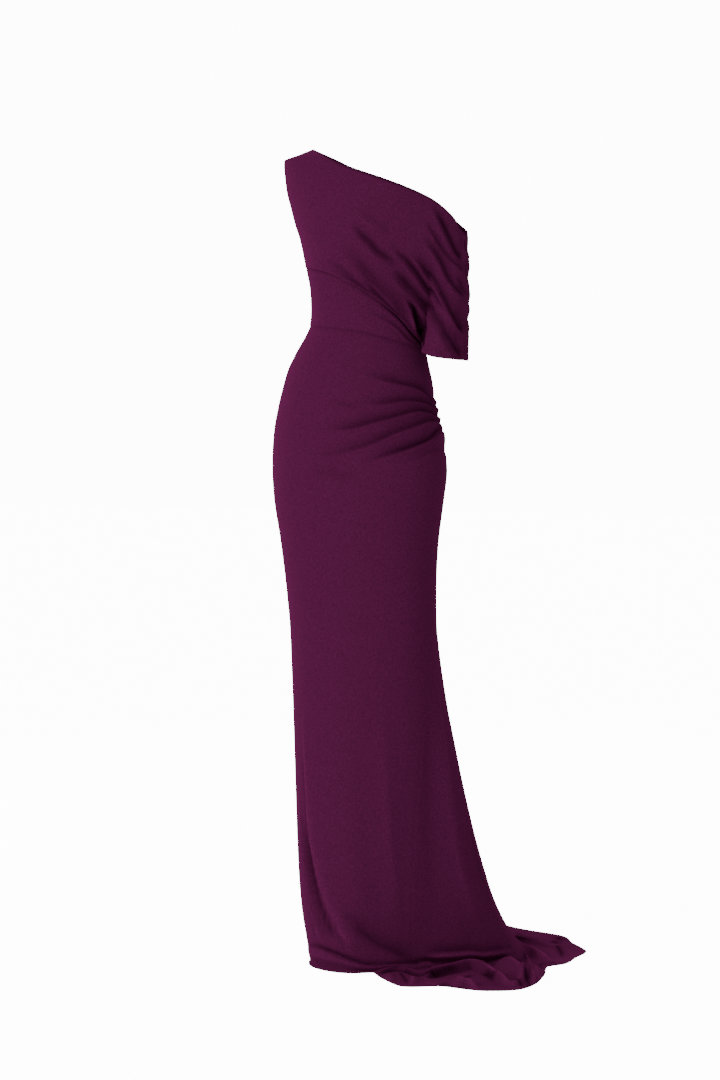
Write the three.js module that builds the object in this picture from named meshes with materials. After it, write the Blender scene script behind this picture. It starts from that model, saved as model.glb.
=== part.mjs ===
import * as THREE from 'three';

// A long one-shoulder evening gown, standing as it is worn, with nobody in it.
// Millimetres. X runs to the wearer's left, Y to the back and Z up.
// Heights are measured from the floor. The finished gown is then moved so that its origin
// is the underside of the shoulder strap, where a wearer holds it up.
//
// Two shapes carry every panel:
//   the figure is a stack of egg-shaped rings, and the skirt and midriff lie on it;
//   the bodice ring is the taut loop round the figure and the left upper arm together.
// A panel is a patch of one of these shapes, pressed in along its folds and given a wall.

const CLOTH = 1.8;
const SEAM_GAP = 0.3;

const NECK_POINT_HEIGHT = 1568;
const SHOULDER_TIP_HEIGHT = 1548;
const UNDERARM_HEIGHT = 1379;
const DRAPE_SEAM_START_HEIGHT = 1337;
const KNEE_HEIGHT = 658;
const OUTER_ARM_NECKLINE_HEIGHT = 1393;
const SLEEVE_HEM_HEIGHT = 1153;

const KNEE_PLACE = 0.42;
const FLOOR_PLACE = 0.84;
const LANDING_BEND = 9;
const LANDING_RISE = [0.6, 1];
const SIDE_RIGHT = 0;
const CENTRE_FRONT = 0.25;
const SIDE_LEFT = 0.5;
const CENTRE_BACK = 0.75;
const WHOLE_ROUND = 1;

const BODICE_WIDTH_FLAT = 480;
const SKIRT_GIRTH_FLAT = 950;
const SLEEVE_PINCH_PLACE = 0.72;
const HULL_ROUNDING = 7;
const HULL_SAMPLES = 97;

const HOLD_POINT = new THREE.Vector3(-152, 0, 1558.5 - CLOTH);

const CREPE = new THREE.MeshStandardMaterial({ color: 0x451434, roughness: 0.8, metalness: 0 });
const ZIP_TAPE = new THREE.MeshStandardMaterial({ color: 0x2b0c20, roughness: 0.7, metalness: 0 });

const table = (columns, lines) => lines.map((line) =>
  Object.fromEntries(columns.map((column, index) => [column, line[index]])));

// The figure's rings: middle and shift place the ring, half is its half-width,
// front and back are its depths before and behind the middle.
const FIGURE = table(['height', 'middle', 'shift', 'half', 'front', 'back'], [
  [658, -11.5, 0, 154, 94, 104],
  [735, -16, 0, 158.5, 96, 106],
  [812, -19.5, 0, 166, 100, 112],
  [889, -21.5, 0, 178, 104, 122],
  [946, -20.5, 0, 183, 106, 129],
  [985, -22, 0, 180.5, 107, 130],
  [1023, -22, 0, 177, 106, 128],
  [1062, -21, 0, 170, 104, 121],
  [1100, -22, 0, 158.5, 101, 112],
  [1139, -20, 0, 147.5, 97, 102],
  [1171, -14.5, 0, 135.5, 92, 92],
  [1225, -1.5, 0, 116.5, 84, 80],
  [1255, -3, 0, 112, 82, 78],
  [1290, -2, 0, 113, 90, 80],
  [1320, 0, 2, 119, 104, 84],
  [1345, 0, 4, 125, 112, 88],
  [1379, 0, 4, 135, 108, 92],
  [1440, 0, 0, 158, 96, 92],
  [1500, 0, 0, 179, 78, 78],
  [1548, 0, 0, 185, 42, 44],
  [1558.5, 0, 0, 152, 23, 25],
  [1568, 0, 0, 121, 4, 4],
]);

// The room that the left upper arm takes in the sleeve, as round sections.
const UPPER_ARM = table(['height', 'middle', 'shift', 'radius'], [
  [1120, 174, 14, 30],
  [1250, 177, 12, 34],
  [1340, 174, 8, 38],
  [1392, 170, 6, 40],
  [1430, 160, 4, 40],
  [1465, 142, 2, 36],
  [1500, 110, 0, 28],
]);

// The neckline runs from the strap down to the outer left arm, lower behind.
const NECKLINE = table(['along', 'x', 'height', 'heightBehind'], [
  [0, -121, 1568, 1568],
  [0.18, -60, 1543, 1532],
  [0.37, 10, 1518, 1497],
  [0.55, 77, 1495, 1470],
  [0.67, 122, 1477, 1451],
  [0.79, 165, 1453, 1421],
  [0.91, 196, 1422, 1401],
  [1, 210, 1393, 1393],
]);

// Seams round the figure: place 0 is the wearer's right side, 0.25 the middle of the front.
const WAIST_SEAM = table(['place', 'height'], [
  [0, 1224],
  [0.14, 1222],
  [0.276, 1212],
  [0.406, 1191],
  [0.5, 1177],
  [0.56, 1172],
  [0.65, 1180],
  [0.75, 1195],
  [0.88, 1215],
  [1, 1224],
]);
const DRAPE_SEAM = table(['place', 'height'], [
  [0, 1337],
  [0.11, 1333],
  [0.21, 1321],
  [0.28, 1297],
  [0.36, 1261],
  [0.405, 1237],
  [0.453, 1206],
  [0.5, 1187],
]);
const LEFT_SIDE_SEAM = table(['height', 'place'], [
  [0, 0.438],
  [160, 0.434],
  [280, 0.438],
  [400, 0.452],
  [658, 0.485],
  [960, 0.53],
  [1180, 0.5],
]);

// The sleeve's hem, in front and behind, from the outer corner to the crease at the side
// of the waist where the sleeve leaves the body.
const SLEEVE_HEM_FRONT = table(['along', 'x', 'y', 'height'], [
  [0, 212, 14, 1153],
  [0.2, 194, -26, 1155],
  [0.45, 168, -42, 1159],
  [0.75, 140, -34, 1168],
  [1, 120, -3, 1186],
]);
const SLEEVE_HEM_BACK = table(['along', 'x', 'y', 'height'], [
  [0, 212, 14, 1153],
  [0.2, 196, 40, 1154],
  [0.45, 168, 50, 1158],
  [0.75, 138, 36, 1168],
  [1, 120, 3, 1186],
]);
// How far each side of that crease keeps clear of the other, as a place round the figure.
const CREASE_INSET = 0.005;

// The armhole cuts into the front and the back by this share of the bodice's width.
const ARMHOLE = table(['height', 'share'], [
  [1379, 0],
  [1400, 0.07],
  [1440, 0.1],
  [1490, 0.09],
  [1530, 0.045],
  [1548, 0],
]);

// The skirt below the knee, by the angle from the front towards the wearer's left. flare is
// the radius that it heads for at the floor and bend how late it swings there, tuck the last
// turn in or out as it lands, and hem the radius of its edge on the floor. The train lies
// behind and to the left.
const FLOOR_PLAN = table(['angle', 'flare', 'bend', 'tuck', 'hem'], [
  [-90, 132, 0.8, -24, 111],
  [-60, 130, 0.8, -25, 108],
  [-42, 124, 0.9, -9, 118],
  [-18, 119, 1, 2, 132],
  [13, 120, 1.1, 6, 139],
  [35, 117, 1.2, 3, 128],
  [39, 117, 1.2, 3, 182],
  [44.5, 119, 1.3, 3, 254],
  [59, 129, 1.35, 2, 280],
  [67, 138, 1.35, 3, 354],
  [77, 152, 1.35, 6, 390],
  [95, 204, 1.32, 18, 366],
  [107, 250, 1.3, 30, 352],
  [113, 268, 1.3, 36, 384],
  [121, 270, 1.32, 44, 405],
  [130, 266, 1.35, 58, 437],
  [139, 260, 1.35, 74, 436],
  [148, 252, 1.35, 88, 452],
  [160, 242, 1.35, 94, 432],
  [180, 228, 1.35, 88, 424],
  [200, 206, 1.3, 66, 392],
  [220, 178, 1.2, 40, 318],
  [240, 148, 1, 6, 222],
  [255, 136, 0.9, -12, 150],
  [270, 132, 0.8, -24, 111],
]);

// Soft rolls of the pooled hem: angle and spread in degrees, out is the share of the way
// from landing to hem, reach its half-width and rise its height.
const HEM_ROLLS = table(['angle', 'spread', 'out', 'reach', 'rise'], [
  [64, 24, 0.12, 0.13, 26],
  [58, 12, 0.62, 0.14, 13],
  [82, 13, 0.66, 0.16, 17],
  [98, 8, 0.4, 0.2, 15],
]);
// Ridges that run out along the train, with their width in degrees.
const TRAIN_RIDGES = table(['angle', 'width', 'rise'], [
  [112, 4, 14],
  [121, 3.5, 9],
  [131, 4, 12],
  [143, 3.5, 9],
  [156, 4, 11],
  [171, 4.5, 9],
  [187, 5, 10],
  [204, 5, 8],
  [220, 6, 7],
]);

// Folds of the draped front. Each runs through start, middle and finish, given as a share
// of the bodice ring and a height. depth is how far the cloth goes in, width its half-width.
const FOLD_COLUMNS = ['start', 'middle', 'finish', 'depth', 'width'];
const DRAPE_FOLDS = table(FOLD_COLUMNS, [
  [[0.84, 1404], [0.92, 1352], [1, 1325], 9, 13],
  [[0.78, 1402], [0.86, 1345], [1, 1272], 10, 13],
  [[0.72, 1372], [0.81, 1306], [1, 1200], 10, 14],
  [[0.62, 1392], [0.78, 1304], [0.995, 1160], 13, 15],
  [[0.64, 1336], [0.8, 1250], [0.96, 1172], 10, 13],
  [[0.5, 1420], [0.59, 1369], [0.7, 1322], 9, 15],
  [[0.38, 1350], [0.5, 1303], [0.67, 1240], 7, 13],
  [[0.5, 1345], [0.64, 1280], [0.785, 1196], 9, 14],
  [[0.75, 1256], [0.775, 1220], [0.8, 1178], 14, 11],
]);
const BACK_DRAPE_FOLDS = table(FOLD_COLUMNS, [
  [[0.76, 1400], [0.87, 1338], [1, 1270], 7, 16],
  [[0.64, 1374], [0.79, 1296], [1, 1200], 8, 17],
  [[0.55, 1336], [0.68, 1274], [0.84, 1196], 8, 17],
]);
// Folds round the hip, given as a place round the skirt and a height. They start from
// the side seam and fan out over the front.
const HIP_FOLDS = table(FOLD_COLUMNS, [
  [[0.31, 1132], [0.42, 1114], [0.53, 1086], 5, 13],
  [[0.25, 1068], [0.39, 1072], [0.53, 1062], 8, 14],
  [[0.19, 978], [0.35, 1006], [0.53, 1036], 10, 15],
  [[0.29, 945], [0.42, 975], [0.53, 1006], 7, 14],
]);
const BACK_HIP_FOLDS = table(FOLD_COLUMNS, [
  [[0.53, 1086], [0.6, 1102], [0.67, 1110], 5, 13],
  [[0.53, 1062], [0.61, 1060], [0.7, 1050], 8, 14],
  [[0.53, 1036], [0.6, 1016], [0.68, 994], 10, 15],
  [[0.53, 1006], [0.58, 980], [0.64, 956], 7, 14],
]);
const MIDRIFF_FOLDS = table(FOLD_COLUMNS, [
  [[0.31, 1252], [0.4, 1220], [0.49, 1182], 3, 8],
]);

// The closed concealed zip lies inside the centre-back seam.
const ZIP_TOP_HEIGHT = 1478;
const ZIP_BOTTOM_HEIGHT = 985;
const ZIP_HALF_WIDTH_PLACE = 0.012;
const ZIP_CLEARANCE = 0.6;

const clamp = THREE.MathUtils.clamp;
const lerp = THREE.MathUtils.lerp;
// Eases from 0 at the first value to 1 at the second, which may be the lower of the two.
const smooth = (from, to, value) => {
  const t = clamp((value - from) / (to - from), 0, 1);
  return t * t * (3 - 2 * t);
};

// A curve through a table's rows that never overshoots them: cubic pieces whose slopes
// are the harmonic means of the steps on either side, and level at each peak.
function curveThrough(rows, key, column) {
  const keys = rows.map((row) => row[key]);
  const values = rows.map((row) => row[column]);
  const widths = keys.slice(1).map((value, index) => value - keys[index]);
  const steps = widths.map((width, index) => (values[index + 1] - values[index]) / width);
  const slopes = keys.map((_, index) => {
    if (index === 0) return steps[0];
    if (index === keys.length - 1) return steps[index - 1];
    const [before, after] = [steps[index - 1], steps[index]];
    if (before * after <= 0) return 0;
    const nearWeight = 2 * widths[index] + widths[index - 1];
    const farWeight = widths[index] + 2 * widths[index - 1];
    return (nearWeight + farWeight) / (nearWeight / before + farWeight / after);
  });
  return (at) => {
    const x = clamp(at, keys[0], keys[keys.length - 1]);
    let index = 0;
    while (index < widths.length - 1 && x >= keys[index + 1]) index += 1;
    const width = widths[index];
    const t = (x - keys[index]) / width;
    const startWeight = (1 + 2 * t) * (1 - t) * (1 - t);
    const finishWeight = t * t * (3 - 2 * t);
    return startWeight * values[index] + t * (1 - t) * (1 - t) * width * slopes[index]
      + finishWeight * values[index + 1] - t * t * (1 - t) * width * slopes[index + 1];
  };
}

const curvesThrough = (rows, key) => Object.fromEntries(
  Object.keys(rows[0]).filter((column) => column !== key)
    .map((column) => [column, curveThrough(rows, key, column)]));

const figure = curvesThrough(FIGURE, 'height');
const arm = curvesThrough(UPPER_ARM, 'height');
const neckline = curvesThrough(NECKLINE, 'along');
const armholeShare = curveThrough(ARMHOLE, 'height', 'share');
const waistHeight = curveThrough(WAIST_SEAM, 'place', 'height');
const drapeSeamHeight = curveThrough(DRAPE_SEAM, 'place', 'height');
const leftSeamPlace = curveThrough(LEFT_SIDE_SEAM, 'height', 'place');
const hemFront = curvesThrough(SLEEVE_HEM_FRONT, 'along');
const hemBack = curvesThrough(SLEEVE_HEM_BACK, 'along');
const plan = curvesThrough(FLOOR_PLAN, 'angle');

// A point of the figure: place runs once round from the right side over the front.
function figurePoint(place, height) {
  const turn = Math.PI + 2 * Math.PI * place;
  const depth = Math.sin(turn) < 0 ? figure.front(height) : figure.back(height);
  return new THREE.Vector3(
    figure.middle(height) + figure.half(height) * Math.cos(turn),
    figure.shift(height) + depth * Math.sin(turn),
    height,
  );
}

// Half of a bodice ring, before or behind. For each direction the loop reaches as far as
// the further of figure and arm, blended smoothly, and its point follows from that reach
// and the reach's rate of change.
const ringStore = new Map();
function bodiceRing(behind, height) {
  const key = `${behind} ${height}`;
  if (ringStore.has(key)) return ringStore.get(key);
  const depth = behind ? figure.back(height) : figure.front(height);
  const half = figure.half(height);
  const points = [];
  for (let index = 0; index < HULL_SAMPLES; index += 1) {
    const sweep = Math.PI * index / (HULL_SAMPLES - 1);
    const turn = Math.PI + (behind ? -sweep : sweep);
    const [c, s] = [Math.cos(turn), Math.sin(turn)];
    const round = Math.hypot(half * c, depth * s);
    const bodyReach = figure.middle(height) * c + figure.shift(height) * s + round;
    const bodyRate = -figure.middle(height) * s + figure.shift(height) * c
      + (depth * depth - half * half) * c * s / round;
    const armReach = arm.middle(height) * c + arm.shift(height) * s + arm.radius(height);
    const armRate = -arm.middle(height) * s + arm.shift(height) * c;
    const most = Math.max(bodyReach, armReach);
    const bodyWeight = Math.exp((bodyReach - most) / HULL_ROUNDING);
    const armWeight = Math.exp((armReach - most) / HULL_ROUNDING);
    const reach = most + HULL_ROUNDING * Math.log(bodyWeight + armWeight);
    const rate = (bodyRate * bodyWeight + armRate * armWeight) / (bodyWeight + armWeight);
    points.push({ x: reach * c - rate * s, y: reach * s + rate * c, along: 0 });
  }
  for (let index = 1; index < points.length; index += 1) {
    const [last, next] = [points[index - 1], points[index]];
    next.along = last.along + Math.hypot(next.x - last.x, next.y - last.y);
  }
  const whole = points[points.length - 1].along;
  points.forEach((point) => { point.along /= whole; });
  ringStore.set(key, points);
  return points;
}

function alongRing(ring, column, value) {
  let index = 0;
  while (index < ring.length - 2 && ring[index + 1][column] < value) index += 1;
  const [low, high] = [ring[index], ring[index + 1]];
  const t = clamp((value - low[column]) / Math.max(high[column] - low[column], 1e-9), 0, 1);
  return {
    x: lerp(low.x, high.x, t),
    y: lerp(low.y, high.y, t),
    along: lerp(low.along, high.along, t),
  };
}

// A point of the bodice ring: share 0 is the right side and 1 the outer left arm.
function bodicePoint(behind, share, height) {
  const spot = alongRing(bodiceRing(behind, height), 'along', clamp(share, 0, 1));
  return new THREE.Vector3(spot.x, spot.y, height);
}

const shareAtWidth = (behind, x, height) => alongRing(bodiceRing(behind, height), 'x', x).along;

// A point of the skirt. From waist to knee it lies on the figure, from there it flares to
// the landing line, and past that it lies on the floor in rolls and ridges.
function skirtPoint(place, down) {
  const round = place - Math.floor(place);
  const waist = waistHeight(round);
  const upper = figurePoint(round, lerp(waist, KNEE_HEIGHT, clamp(down / KNEE_PLACE, 0, 1)));
  if (down <= KNEE_PLACE) return upper;
  const fall = clamp((down - KNEE_PLACE) / (FLOOR_PLACE - KNEE_PLACE), 0, 1);
  const out = clamp((down - FLOOR_PLACE) / (1 - FLOOR_PLACE), 0, 1);
  const angle = (round - CENTRE_FRONT) * 360;
  const turn = Math.PI + 2 * Math.PI * round;
  const swing = fall ** plan.bend(angle);
  const flare = plan.flare(angle);
  const reach = lerp(plan.tuck(angle) * fall ** LANDING_BEND, plan.hem(angle) - flare, out);
  const rise = floorRise(angle, out) * smooth(...LANDING_RISE, fall);
  return new THREE.Vector3(
    lerp(upper.x, flare * Math.cos(turn), swing) + reach * Math.cos(turn),
    lerp(upper.y, flare * Math.sin(turn), swing) + reach * Math.sin(turn),
    lerp(KNEE_HEIGHT, CLOTH, fall) + rise,
  );
}

const hump = (distance) => Math.exp(-distance * distance);

// Where on the way out the train's ridges have risen, where they ease, and what is left of
// them at the hem.
const RIDGE_START = [0.05, 0.45];
const RIDGE_EASE = [0.6, 1];
const RIDGE_AT_HEM = 0.35;

// How far rolls and ridges lift the cloth that lies on the floor.
function floorRise(angle, out) {
  const rolls = HEM_ROLLS.reduce((sum, roll) => sum
    + roll.rise * hump((angle - roll.angle) / roll.spread) * hump((out - roll.out) / roll.reach), 0);
  const ridges = TRAIN_RIDGES.reduce((sum, ridge) => sum
    + ridge.rise * hump((angle - ridge.angle) / ridge.width), 0);
  return rolls + ridges * smooth(...RIDGE_START, out)
    * lerp(1, RIDGE_AT_HEM, smooth(...RIDGE_EASE, out));
}

// How deep the folds press the cloth at a spot. Each fold is a smooth bend through its
// three points, deepest at its line, with a low raised shoulder beside it, and faded out
// towards both ends.
const BEND_STEPS = 12;
const SHOULDER_RISE = 0.4;
const SHOULDER_AWAY = 1.7;
const SHOULDER_REACH = 0.7;
function foldLine(fold, flatWidth) {
  return Array.from({ length: BEND_STEPS + 1 }, (_, index) => {
    const t = index / BEND_STEPS;
    const weights = [(1 - t) * (1 - 2 * t), 4 * t * (1 - t), t * (2 * t - 1)];
    const ends = [fold.start, fold.middle, fold.finish];
    return {
      across: flatWidth * ends.reduce((sum, end, which) => sum + weights[which] * end[0], 0),
      height: ends.reduce((sum, end, which) => sum + weights[which] * end[1], 0),
    };
  });
}

function foldField(folds, flatWidth, fadeStart, fadeFinish) {
  const lines = folds.map((fold) => ({ fold, line: foldLine(fold, flatWidth) }));
  return (across, height) => lines.reduce((sum, { fold, line }) => {
    let best = { distance: Infinity, along: 0 };
    for (let index = 0; index < BEND_STEPS; index += 1) {
      const [low, high] = [line[index], line[index + 1]];
      const [stepAcross, stepUp] = [high.across - low.across, high.height - low.height];
      const t = clamp(((across * flatWidth - low.across) * stepAcross
        + (height - low.height) * stepUp) / (stepAcross ** 2 + stepUp ** 2), 0, 1);
      const distance = Math.hypot(across * flatWidth - low.across - t * stepAcross,
        height - low.height - t * stepUp);
      if (distance < best.distance) best = { distance, along: (index + t) / BEND_STEPS };
    }
    const apart = best.distance / fold.width;
    const fade = smooth(0, fadeStart, best.along) * smooth(1, 1 - fadeFinish, best.along);
    const shoulder = SHOULDER_RISE * hump((apart - SHOULDER_AWAY) / SHOULDER_REACH);
    return sum + fold.depth * fade * (hump(apart) - shoulder);
  }, 0);
}

const NO_FADE = 1e-6;
const drapePress = foldField(DRAPE_FOLDS, BODICE_WIDTH_FLAT, 0.35, 0.15);
const backDrapePress = foldField(BACK_DRAPE_FOLDS, BODICE_WIDTH_FLAT, 0.35, 0.15);
const hipPress = foldField(HIP_FOLDS, SKIRT_GIRTH_FLAT, 0.45, NO_FADE);
const backHipPress = foldField(BACK_HIP_FOLDS, SKIRT_GIRTH_FLAT, NO_FADE, 0.5);
const midriffPress = foldField(MIDRIFF_FOLDS, SKIRT_GIRTH_FLAT, 0.4, 0.2);

// The outer sleeve seam is drawn up into short puffs, alike in front and behind. They fade
// out near the neckline and well above the hem.
const PUFF_PITCH = 49.5;
const PUFF_DEPTH = 3.4;
const HIGHEST_NOTCH = 1371;
const PUFF_TOP_FADE = [1391, 1368];
const PUFF_BOTTOM_FADE = [1180, 1225];
function sleeveSeamPress(height) {
  const inside = smooth(...PUFF_TOP_FADE, height) * smooth(...PUFF_BOTTOM_FADE, height);
  return PUFF_DEPTH * inside * Math.cos(2 * Math.PI * (height - HIGHEST_NOTCH) / PUFF_PITCH);
}

const outward = (downStep, acrossStep) =>
  new THREE.Vector3().crossVectors(downStep, acrossStep).normalize();

// The direction that faces out of a smooth shape, from short steps either side of a spot.
const PANEL_STEP = 0.025;
function facing(shape, across, down) {
  const left = shape(Math.max(across - PANEL_STEP, 0), down);
  const right = shape(Math.min(across + PANEL_STEP, 1), down);
  const above = shape(across, Math.max(down - PANEL_STEP, 0));
  const below = shape(across, Math.min(down + PANEL_STEP, 1));
  return outward(below.sub(above), right.sub(left));
}

const SLOPE_STEP = 0.004;
function figureFacing(place, height) {
  const [low, high] = [figurePoint(place - SLOPE_STEP, height), figurePoint(place + SLOPE_STEP, height)];
  const [above, below] = [figurePoint(place, height + 1), figurePoint(place, height - 1)];
  return outward(below.sub(above), high.sub(low));
}

// Moves a panel's edge in by half the seam gap, along the panel.
function trimEdge(grid, spots, inner) {
  spots.forEach(([row, column], index) => {
    const [innerRow, innerColumn] = inner[index];
    const step = grid[innerRow][innerColumn].clone().sub(grid[row][column]).setLength(SEAM_GAP / 2);
    grid[row][column].add(step);
  });
}

function trimPanel(grid) {
  const [rows, columns] = [grid.length, grid[0].length];
  const down = Array.from({ length: rows }, (_, row) => row);
  const along = Array.from({ length: columns }, (_, column) => column);
  trimEdge(grid, down.map((row) => [row, 0]), down.map((row) => [row, 1]));
  trimEdge(grid, down.map((row) => [row, columns - 1]), down.map((row) => [row, columns - 2]));
  trimEdge(grid, along.map((column) => [0, column]), along.map((column) => [1, column]));
  trimEdge(grid, along.map((column) => [rows - 1, column]), along.map((column) => [rows - 2, column]));
}

// A closed wall: the outer face, an inner face one cloth's thickness further in, and a rim.
// Facing rims split their quads the same way, so that neighbours keep clear of each other.
function wallGeometry(outer, inner) {
  const [rows, columns] = [outer.length, outer[0].length];
  const positions = [...outer.flat(), ...inner.flat()].flatMap((point) => point.toArray());
  const at = (layer, row, column) => layer * rows * columns + row * columns + column;
  const faces = [];
  const quad = (a, b, c, d) => faces.push(a, b, c, a, c, d);
  for (let row = 0; row < rows - 1; row += 1) {
    for (let column = 0; column < columns - 1; column += 1) {
      quad(at(0, row, column), at(0, row + 1, column),
        at(0, row + 1, column + 1), at(0, row, column + 1));
      quad(at(1, row, column), at(1, row, column + 1),
        at(1, row + 1, column + 1), at(1, row + 1, column));
    }
  }
  const rimForward = (low, high) => quad(at(0, ...high), at(1, ...high), at(1, ...low), at(0, ...low));
  const rimBackward = (low, high) => quad(at(0, ...high), at(0, ...low), at(1, ...low), at(1, ...high));
  for (let column = 0; column < columns - 1; column += 1) {
    rimForward([0, column], [0, column + 1]);
    rimBackward([rows - 1, column], [rows - 1, column + 1]);
  }
  for (let row = 0; row < rows - 1; row += 1) {
    rimBackward([row, 0], [row + 1, 0]);
    rimForward([row, columns - 1], [row + 1, columns - 1]);
  }
  const geometry = new THREE.BufferGeometry();
  geometry.setAttribute('position', new THREE.Float32BufferAttribute(positions, 3));
  geometry.setIndex(faces);
  geometry.computeVertexNormals();
  return geometry;
}

// Builds one panel: shape gives its smooth points, press the folds' depth, and face the
// direction out of the cloth, which neighbours share along a seam.
function panel({ name, acrossPlaces, downPlaces, shape, press, face, material = CREPE }) {
  const outer = downPlaces.map((down) => acrossPlaces.map((across) => shape(across, down)));
  const faces = downPlaces.map((down) => acrossPlaces.map((across) => face(across, down)));
  outer.forEach((line, row) => line.forEach((point, column) => {
    point.addScaledVector(faces[row][column], -press(acrossPlaces[column], downPlaces[row]));
  }));
  trimPanel(outer);
  const inner = outer.map((line, row) => line.map((point, column) =>
    point.clone().addScaledVector(faces[row][column], -CLOTH)));
  const mesh = new THREE.Mesh(wallGeometry(outer, inner), material.clone());
  mesh.name = name;
  return mesh;
}

const evenly = (count) => Array.from({ length: count + 1 }, (_, index) => index / count);

// Maps an even run of rows to heights, by straight stretches between given rows.
function heightLadder(stops) {
  return (down) => {
    const index = Math.max(1, stops.findIndex((stop) => stop[0] >= down - 1e-9));
    const [low, high] = [stops[index - 1], stops[index]];
    return lerp(low[1], high[1], (down - low[0]) / (high[0] - low[0]));
  };
}

const BODICE_ROWS = 28;
const FRONT_SHOULDER_ROW = 3;
const FRONT_UNDERARM_ROW = 22;
const BACK_SHOULDER_ROW = 3;
const BACK_UNDERARM_ROW = 16;
const DRAPE_COLUMNS = 32;
const PINCH_COLUMN = Math.round(DRAPE_COLUMNS * SLEEVE_PINCH_PLACE);
const PINCH = PINCH_COLUMN / DRAPE_COLUMNS;

const frontEdgeHeight = heightLadder([
  [0, NECK_POINT_HEIGHT],
  [FRONT_SHOULDER_ROW / BODICE_ROWS, SHOULDER_TIP_HEIGHT],
  [FRONT_UNDERARM_ROW / BODICE_ROWS, UNDERARM_HEIGHT],
  [1, DRAPE_SEAM_START_HEIGHT],
]);
const backEdgeHeight = heightLadder([
  [0, NECK_POINT_HEIGHT],
  [BACK_SHOULDER_ROW / BODICE_ROWS, SHOULDER_TIP_HEIGHT],
  [BACK_UNDERARM_ROW / BODICE_ROWS, UNDERARM_HEIGHT],
  [1, waistHeight(WHOLE_ROUND)],
]);
const sleeveEdgeHeight = (down) => lerp(OUTER_ARM_NECKLINE_HEIGHT, SLEEVE_HEM_HEIGHT, down);

// Fills a four-sided patch of the bodice from its edges. An edge gives a share and a height.
function patchSpot(edges, across, down) {
  const top = edges.top(across);
  const bottom = edges.bottom(across);
  const first = edges.first(down);
  const last = edges.last(down);
  const corners = [edges.top(0), edges.top(1), edges.bottom(0), edges.bottom(1)];
  const fill = (key) => lerp(top[key], bottom[key], down) + lerp(first[key], last[key], across)
    - lerp(lerp(corners[0][key], corners[1][key], across),
      lerp(corners[2][key], corners[3][key], across), down);
  return { share: fill('share'), height: fill('height') };
}

// A bodice panel's smooth shape: the patch on the ring, drawn over to its true lower edge
// from this far down.
const DRAW_OVER_START = 0.4;
function bodiceShape(behind, edges, lowerEdge) {
  const bottoms = new Map();
  const drawn = (across) => {
    if (!bottoms.has(across)) {
      const spot = edges.bottom(across);
      bottoms.set(across, lowerEdge(across).sub(bodicePoint(behind, spot.share, spot.height)));
    }
    return bottoms.get(across);
  };
  return (across, down) => {
    const spot = patchSpot(edges, across, down);
    return bodicePoint(behind, spot.share, spot.height)
      .addScaledVector(drawn(across), smooth(DRAW_OVER_START, 1, down));
  };
}

const onRing = (behind, point) => ({
  share: shareAtWidth(behind, point.x, point.z),
  height: point.z,
});

function necklineSpot(behind, along) {
  const height = behind ? neckline.heightBehind(along) : neckline.height(along);
  return { share: shareAtWidth(behind, neckline.x(along), height), height };
}

const hemPoint = (hem, along) => new THREE.Vector3(hem.x(along), hem.y(along), hem.height(along));

// Neighbours share the direction out of the cloth along the right side and the sleeve seam.
const SLEEVE_SEAM_FACING = new THREE.Vector3(1, 0, 0);
function rightSideFacing(height) {
  const above = figurePoint(SIDE_RIGHT, height + 1);
  const below = figurePoint(SIDE_RIGHT, height - 1);
  return new THREE.Vector3(below.z - above.z, 0, above.x - below.x).normalize();
}

// Where the drape's folds have faded at the seam below them, how wide that stretch is beside
// the pinch, and where the puffs of the sleeve seam take over.
const SEAM_FADE = [1, 0.9];
const PINCH_FADE_WIDTH = 0.08;
const FRONT_PUFF_START = 0.93;
const BACK_PUFF_START = 0.12;
function frontDrape() {
  const seamPlace = (across) => Math.min(SIDE_LEFT * across / PINCH, SIDE_LEFT - CREASE_INSET);
  const lowerEdge = (across) => {
    if (across > PINCH) return hemPoint(hemFront, (1 - across) / (1 - PINCH));
    return figurePoint(seamPlace(across), drapeSeamHeight(seamPlace(across)));
  };
  const edges = {
    top: (across) => necklineSpot(false, across),
    bottom: (across) => onRing(false, lowerEdge(across)),
    first: (down) => ({ share: armholeShare(frontEdgeHeight(down)), height: frontEdgeHeight(down) }),
    last: (down) => ({ share: 1, height: sleeveEdgeHeight(down) }),
  };
  const shape = bodiceShape(false, edges, lowerEdge);
  return panel({
    name: 'bodice_front_drape',
    acrossPlaces: evenly(DRAPE_COLUMNS),
    downPlaces: evenly(BODICE_ROWS),
    shape,
    press: (across, down) => {
      const spot = patchSpot(edges, across, down);
      const besidePinch = smooth(PINCH, PINCH + PINCH_FADE_WIDTH, across);
      const seamFade = lerp(smooth(...SEAM_FADE, down), 1, besidePinch);
      const folds = drapePress(spot.share, spot.height) * seamFade;
      return lerp(folds, sleeveSeamPress(spot.height), smooth(FRONT_PUFF_START, 1, across));
    },
    face: (across, down) => {
      const edgeHeight = frontEdgeHeight(down);
      if (across === 0 && armholeShare(edgeHeight) === 0) return rightSideFacing(edgeHeight);
      if (across === 1) return SLEEVE_SEAM_FACING;
      if (down < 1 || across >= PINCH) return facing(shape, across, down);
      return figureFacing(seamPlace(across), drapeSeamHeight(seamPlace(across)));
    },
  });
}

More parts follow.
